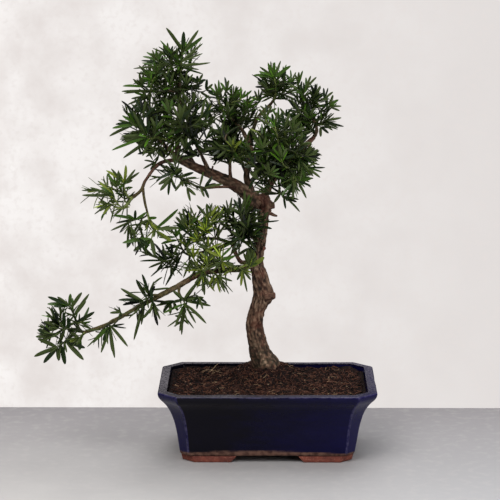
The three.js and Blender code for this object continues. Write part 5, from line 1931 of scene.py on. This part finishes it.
@dataclass
class SoilBed:
    """The soil: an uneven bed heaped round the trunk, with crumbs, coarse fibres and pale flecks on it."""

    pot: GlazedPot
    edge_half: float = 139.3
    edge_height: float = 82.0
    skirt_half: float = 125.0
    skirt_height: float = 62.0
    mound: Triple = (-2.0, 35.0, 97.0)
    flat: float = 23.0
    spread: float = 36.0
    back_rise: float = 3.4
    crumbs: int = 2600
    fibres: int = 1500
    pale_fibres: int = 110
    flecks: int = 260
    rings: int = 62
    room: float = 0.93
    tuft: Sequence[Triple] = ((-78, 52, 24), (-72, 56, 19), (-66, 54, 22), (-70, 48, 15), (-81, 58, 17), (-63, 60, 14))

    def height(self, points: Points) -> Values:
        """The height of the soil.

        Args:
            points: Where to take it, with any height.

        Returns:
            The soil's height under or over each.
        """
        away = np.hypot(points[:, 0] - self.mound[0], points[:, 1] - self.mound[1])
        share = np.clip((self.flat + self.spread - away) / self.spread, 0, 1)
        rise = (self.mound[2] - self.edge_height) * (1 - np.cos(math.pi * share)) / 2
        flat = points * np.array([1, 1, 0])
        rough = 1.5 * Grain(41).rough(flat / 17.0, 3) + 1.1 * Grain(42).rough(flat / 4.2, 2)
        return self.edge_height + rise + rough + self.back_rise * np.clip(points[:, 1] / 80, 0, 1)

    def _on_bed(self, plan: Points) -> Points:
        """Points of a plan laid on the bed's surface."""
        return np.column_stack([plan, self.height(raised(plan, 0.0))])

    def _edge(self) -> Points:
        """The outline of the soil's surface."""
        return self.pot.outline(self.edge_half, self.pot.wall + 0.5)

    def _bed(self) -> Skin:
        """Make the skin of the bed itself.

        Returns:
            The skin.
        """
        edge = self._edge()
        surface = self._on_bed(np.concatenate([edge * share for share in np.linspace(0.02, 1, self.rings) ** 0.8]))
        skirt = raised(self.pot.outline(self.skirt_half, self.pot.wall + 0.6), self.skirt_height)
        corners = np.concatenate([surface, skirt, self._on_bed(np.zeros((1, 2))), [[0, 0, self.skirt_height]]])
        skin = Skin()
        skin.add(corners, [group[:, ::-1] for group in tube_faces(self.rings + 1, len(edge))])
        return skin

    def _spots(self, count: int, seed: int, room: float = 0.97) -> Points:
        """Places spread at random over the bed, on its surface.

        Args:
            count: The number of places.
            seed: Sets the pattern.
            room: How far out they go, as a share of the bed's size.

        Returns:
            The places.
        """
        chance = np.random.default_rng(seed)
        half_w, half_d = self._edge().max(axis=0) * room
        spots = np.column_stack([chance.uniform(-half, half, count * 2) for half in (half_w, half_d)])
        inside = np.abs(spots[:, 0]) + np.abs(spots[:, 1]) < half_w + half_d - 22
        return self._on_bed(spots[inside][:count])

    def _chips(self, skin: Skin, spots: Points, sizes: Values, seed: int, finish: int, flat: float) -> None:
        """Add crumbs: twelve-cornered lumps, each knocked out of shape.

        Args:
            skin: The mesh they join.
            spots: Where they lie.
            sizes: Their radii.
            seed: Sets their shapes.
            finish: Their finish number.
            flat: Their height as a share of their width.
        """
        chance = np.random.default_rng(seed)
        golden = (1 + math.sqrt(5)) / 2
        base = unit(np.array([
            (-1, golden, 0), (1, golden, 0), (-1, -golden, 0), (1, -golden, 0), (0, -1, golden), (0, 1, golden),
            (0, -1, -golden), (0, 1, -golden), (golden, 0, -1), (golden, 0, 1), (-golden, 0, -1), (-golden, 0, 1),
        ]))
        near = base @ base.T > 0.4
        faces = np.array([
            (a, b, c) for a, b, c in permutations(range(12), 3)
            if a < min(b, c) and near[a, b] and near[b, c] and near[c, a] and np.linalg.det(base[[a, b, c]]) > 0
        ])
        count, upright = len(spots), np.array([[0.0, 0.0, 1.0]])
        lumps = base[None] * (1 + chance.uniform(-0.35, 0.35, (count, 12, 1)))
        lumps = lumps * chance.uniform(0.6, 1.35, (count, 1, 3)) * np.array([1, 1, flat])
        turn = chance.uniform(0, 2 * math.pi, count)
        lumps = turned(lumps.reshape(-1, 3), np.tile(upright, (count * 12, 1)), np.repeat(turn, 12))
        corners = lumps.reshape(-1, 12, 3) * sizes[:, None, None] + spots[:, None]
        starts = (np.arange(count) * 12)[:, None, None]
        skin.add(corners.reshape(-1, 3), [(faces[None] + starts).reshape(-1, 3)], finish)

    def _threads(self, skin: Skin, spots: Points, lengths: Values, radius: float, lift: float, seed: int,
                 finish: int) -> None:
        """Add fibres: thin bent threads that lie on the soil or stand out of it.

        Args:
            skin: The mesh they join.
            spots: Where their middles lie.
            lengths: Their lengths.
            radius: Their radius.
            lift: How steeply they may stand, from 0 to 1.
            seed: Sets their shapes.
            finish: Their finish number.
        """
        chance = np.random.default_rng(seed)
        sides = 3
        radii = radius * np.array([0.5, 0.9, 1.0, 1.0, 0.8, 0.4])
        t = np.linspace(-0.5, 0.5, len(radii))
        for spot, length in zip(spots, lengths):
            turn = chance.uniform(0, 2 * math.pi)
            rise = chance.uniform(0, lift)
            way = np.array([math.cos(turn), math.sin(turn), 0.0])
            bend = np.array([-math.sin(turn), math.cos(turn), 0.0]) * chance.uniform(-0.35, 0.35)
            line = spot + length * (way * t[:, None] + bend * (t[:, None] ** 2 - 0.08))
            dip = 1.6 * (2 * t) ** 4 * (rise < 0.2)
            line[:, 2] = self.height(line) + 0.5 + length * np.clip(t + 0.35, 0, 1) * rise - dip
            skin.add(tube(line, radii, sides), tube_faces(len(radii), sides), finish)

    def build(self) -> None:
        """Make the bed's piece, the crumbs' piece and the fibres' piece."""
        humus = SoilFinish("humus", colour(9, 5, 4), colour(22, 12, 11), colour(42, 25, 21)).material()
        crumb = SoilFinish("soil_crumb", colour(20, 10, 8), colour(39, 21, 17), colour(70, 40, 30)).material()
        dark = SoilFinish("soil_peat", colour(7, 5, 4), colour(17, 11, 9), colour(30, 19, 16)).material()
        pale = SoilFinish("soil_grit", colour(120, 98, 78), colour(158, 136, 112), colour(190, 172, 150)).material()
        bed = self._bed().piece("soil_bed", [humus], "soil")
        chance = np.random.default_rng(5)
        crumbs, fibres = Skin(), Skin()
        self._chips(crumbs, self._spots(self.crumbs, 1), chance.uniform(0.7, 2.3, self.crumbs), 2, 0, 0.8)
        self._chips(crumbs, self._spots(self.crumbs, 3), chance.uniform(0.7, 2.0, self.crumbs), 4, 1, 0.8)
        self._chips(crumbs, self._spots(self.flecks, 6), chance.uniform(0.4, 1.0, self.flecks), 7, 2, 0.5)
        grit = crumbs.piece("soil_crumbs", [crumb, dark, pale], "soil", crease=30.0)
        rust = TwigFinish("root_fibre", colour(54, 29, 21), colour(104, 64, 44)).material()
        straw = TwigFinish("pale_fibre", colour(128, 100, 74), colour(180, 152, 118)).material()
        for count, seed, reach, radius, lift, finish in (
            (self.fibres, 8, (5, 15), 0.34, 0.18, 0), (self.pale_fibres, 10, (4, 12), 0.24, 0.25, 1),
        ):
            spots = self._spots(count, seed, self.room)
            self._threads(fibres, spots, chance.uniform(*reach, count), radius, lift, seed + 1, finish)
        tuft = np.array(self.tuft, float)
        self._threads(fibres, self._on_bed(tuft[:, :2]), tuft[:, 2], 0.4, 1.0, 21, 1)
        threads = fibres.piece("soil_fibres", [rust, straw], "soil")
        for piece in (bed, grit, threads):
            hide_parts("soil")


# ---- stage


@dataclass
class Studio:
    """The table, the bright wall round it, the lights and the camera."""

    camera_down: float = 10.8
    camera_left: float = 0.46
    lens: float = 160.56
    sensor: float = 36.0
    table_back: float = 211.0
    table_size: Triple = (3600.0, 1500.0, 40.0)
    wall_radius: float = 9000.0
    sky: float = 0.5
    sky_reflected: float = 0.04
    lamps_aim: Triple = (-40, 0, 280)

    def _camera(self) -> None:
        """Set up the camera."""
        data = bpy.data.cameras.new("camera")
        data.lens, data.sensor_width = self.lens, self.sensor
        data.clip_end = 60.0
        camera = shown("camera", data)
        camera.location = PLACE.metres(EYE)
        camera.rotation_euler = (math.radians(90 - self.camera_down), 0.0, math.radians(self.camera_left))
        bpy.context.scene.camera = camera

    def _show(self, name: str, rows: list[Points], finish: Material) -> bpy.types.Object:
        """Make one piece of the stage from rings of corners.

        Args:
            name: Its name.
            rows: Its rings, and last its first and last middle point.
            finish: Its material.

        Returns:
            The object.
        """
        faces = [face for group in tube_faces(len(rows) - 1, len(rows[0])) for face in group.tolist()]
        mesh = bpy.data.meshes.new(name)
        mesh.from_pydata(PLACE.metres(np.concatenate(rows)).tolist(), [], faces)
        mesh.materials.append(finish)
        mesh.shade_smooth()
        thing = shown(name, mesh)
        thing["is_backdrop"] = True
        return thing

    def _table(self) -> None:
        """Make the table top, with rounded edges."""
        width, depth, thick = self.table_size
        y0, y1 = self.table_back - depth, self.table_back
        plan = [(-width / 2, y0), (width / 2, y0), (width / 2, y1), (-width / 2, y1)]
        rows = []
        for inset, z in ((4.0, -thick), (0.0, -thick + 4), (0.0, -3.0), (0.9, -0.9), (3.0, 0.0)):
            low = [(x - math.copysign(inset, x), y + (inset if y == y0 else -inset)) for x, y in plan]
            rows.append(raised(rounded_outline(low, 6.0, 4, (10, 10, 10, 10)), TABLE + z))
        rows.append(np.array([[0.0, (y0 + y1) / 2, TABLE - thick], [0.0, (y0 + y1) / 2, TABLE]]))
        clouds = (colour(196, 193, 189), colour(180, 176, 173), 120.0)
        # The table is painted darker towards the right and towards the back: painted shade.
        finish = StageFinish("table_top", *clouds, colour(170, 170, 172), 0.4, 0.25, colour(138, 134, 136))
        self._show("table", rows, finish.material())

    def _wall(self) -> None:
        """Make the bright wall: a dome far round the table that only the camera sees."""
        angles = np.linspace(-math.pi / 2, math.pi / 2, 26)[1:-1]
        turns = -round_angles(48)
        ring = np.stack([np.cos(turns), np.sin(turns)], -1)
        rows = [raised(ring * math.cos(a), math.sin(a)) for a in angles]
        rows.append(np.array([[0, 0, -1.0], [0, 0, 1.0]]))
        clouds = (colour(250, 246, 244), colour(230, 223, 220), 260.0)
        # The wall is painted darker towards the right: painted shade.
        finish = StageFinish("bright_wall", *clouds, colour(226, 221, 219), 1.4, 0.45, glow=1.0)
        wall = self._show("wall", [row * self.wall_radius for row in rows], finish.material())
        wall.visible_diffuse = wall.visible_glossy = wall.visible_shadow = wall.visible_transmission = False

    def _lamp(self, name: str, at: Triple, size: float, power: float, tint: Triple = (1, 1, 1)) -> bpy.types.Object:
        """Hang one soft square lamp.

        Args:
            name: Its name.
            at: Where it hangs.
            size: The length of its sides.
            power: Its power in watts.
            tint: Its colour.

        Returns:
            The lamp.
        """
        data = bpy.data.lights.new(name, "AREA")
        data.size, data.energy, data.color = size * MM, power, tint
        lamp = shown(name, data)
        start, end = (Vector(PLACE.metres(np.array(p, float))) for p in (at, self.lamps_aim))
        lamp.location = start
        lamp.rotation_euler = (end - start).to_track_quat("-Z", "Y").to_euler()
        return lamp

    def _sky(self) -> None:
        """Make the sky: even light from all round, much weaker where it is reflected."""
        world = bpy.data.worlds.new("studio")
        world.use_nodes = True
        nodes, links = world.node_tree.nodes, world.node_tree.links
        glow = nodes["Background"]
        glow.inputs["Color"].default_value = (0.97, 0.98, 1.0, 1.0)
        rays, level = nodes.new("ShaderNodeLightPath"), nodes.new("ShaderNodeMapRange")
        level.inputs["To Min"].default_value, level.inputs["To Max"].default_value = self.sky, self.sky_reflected
        links.new(rays.outputs["Is Glossy Ray"], level.inputs["Value"])
        links.new(level.outputs["Result"], glow.inputs["Strength"])
        bpy.context.scene.world = world

    def build(self) -> None:
        """Set the stage."""
        self._camera()
        self._table()
        self._wall()
        self._lamp("key", (-900, -1500, 2250), 1500, 60, (1.0, 0.985, 0.96))
        self._lamp("fill", (1900, -1500, 1100), 1600, 31, (0.96, 0.98, 1.0))
        self._lamp("top", (100, 500, 2300), 1500, 26)
        self._lamp("back", (500, 2100, 1500), 1500, 18).visible_glossy = False
        self._sky()
        bpy.context.scene.view_settings.view_transform = "Standard"
        LOG.info("studio: camera, table, wall and lamps")


# ---- making


def main() -> None:
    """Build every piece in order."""
    logging.basicConfig(level=logging.INFO, format="%(message)s")
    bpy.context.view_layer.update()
    Studio().build()
    pot = GlazedPot()
    pot.build()
    ClayFeet().build()
    SoilBed(pot).build()
    wood = Wood()
    wood.build()
    Foliage().build(wood)


if __name__ == "__main__":
    main()
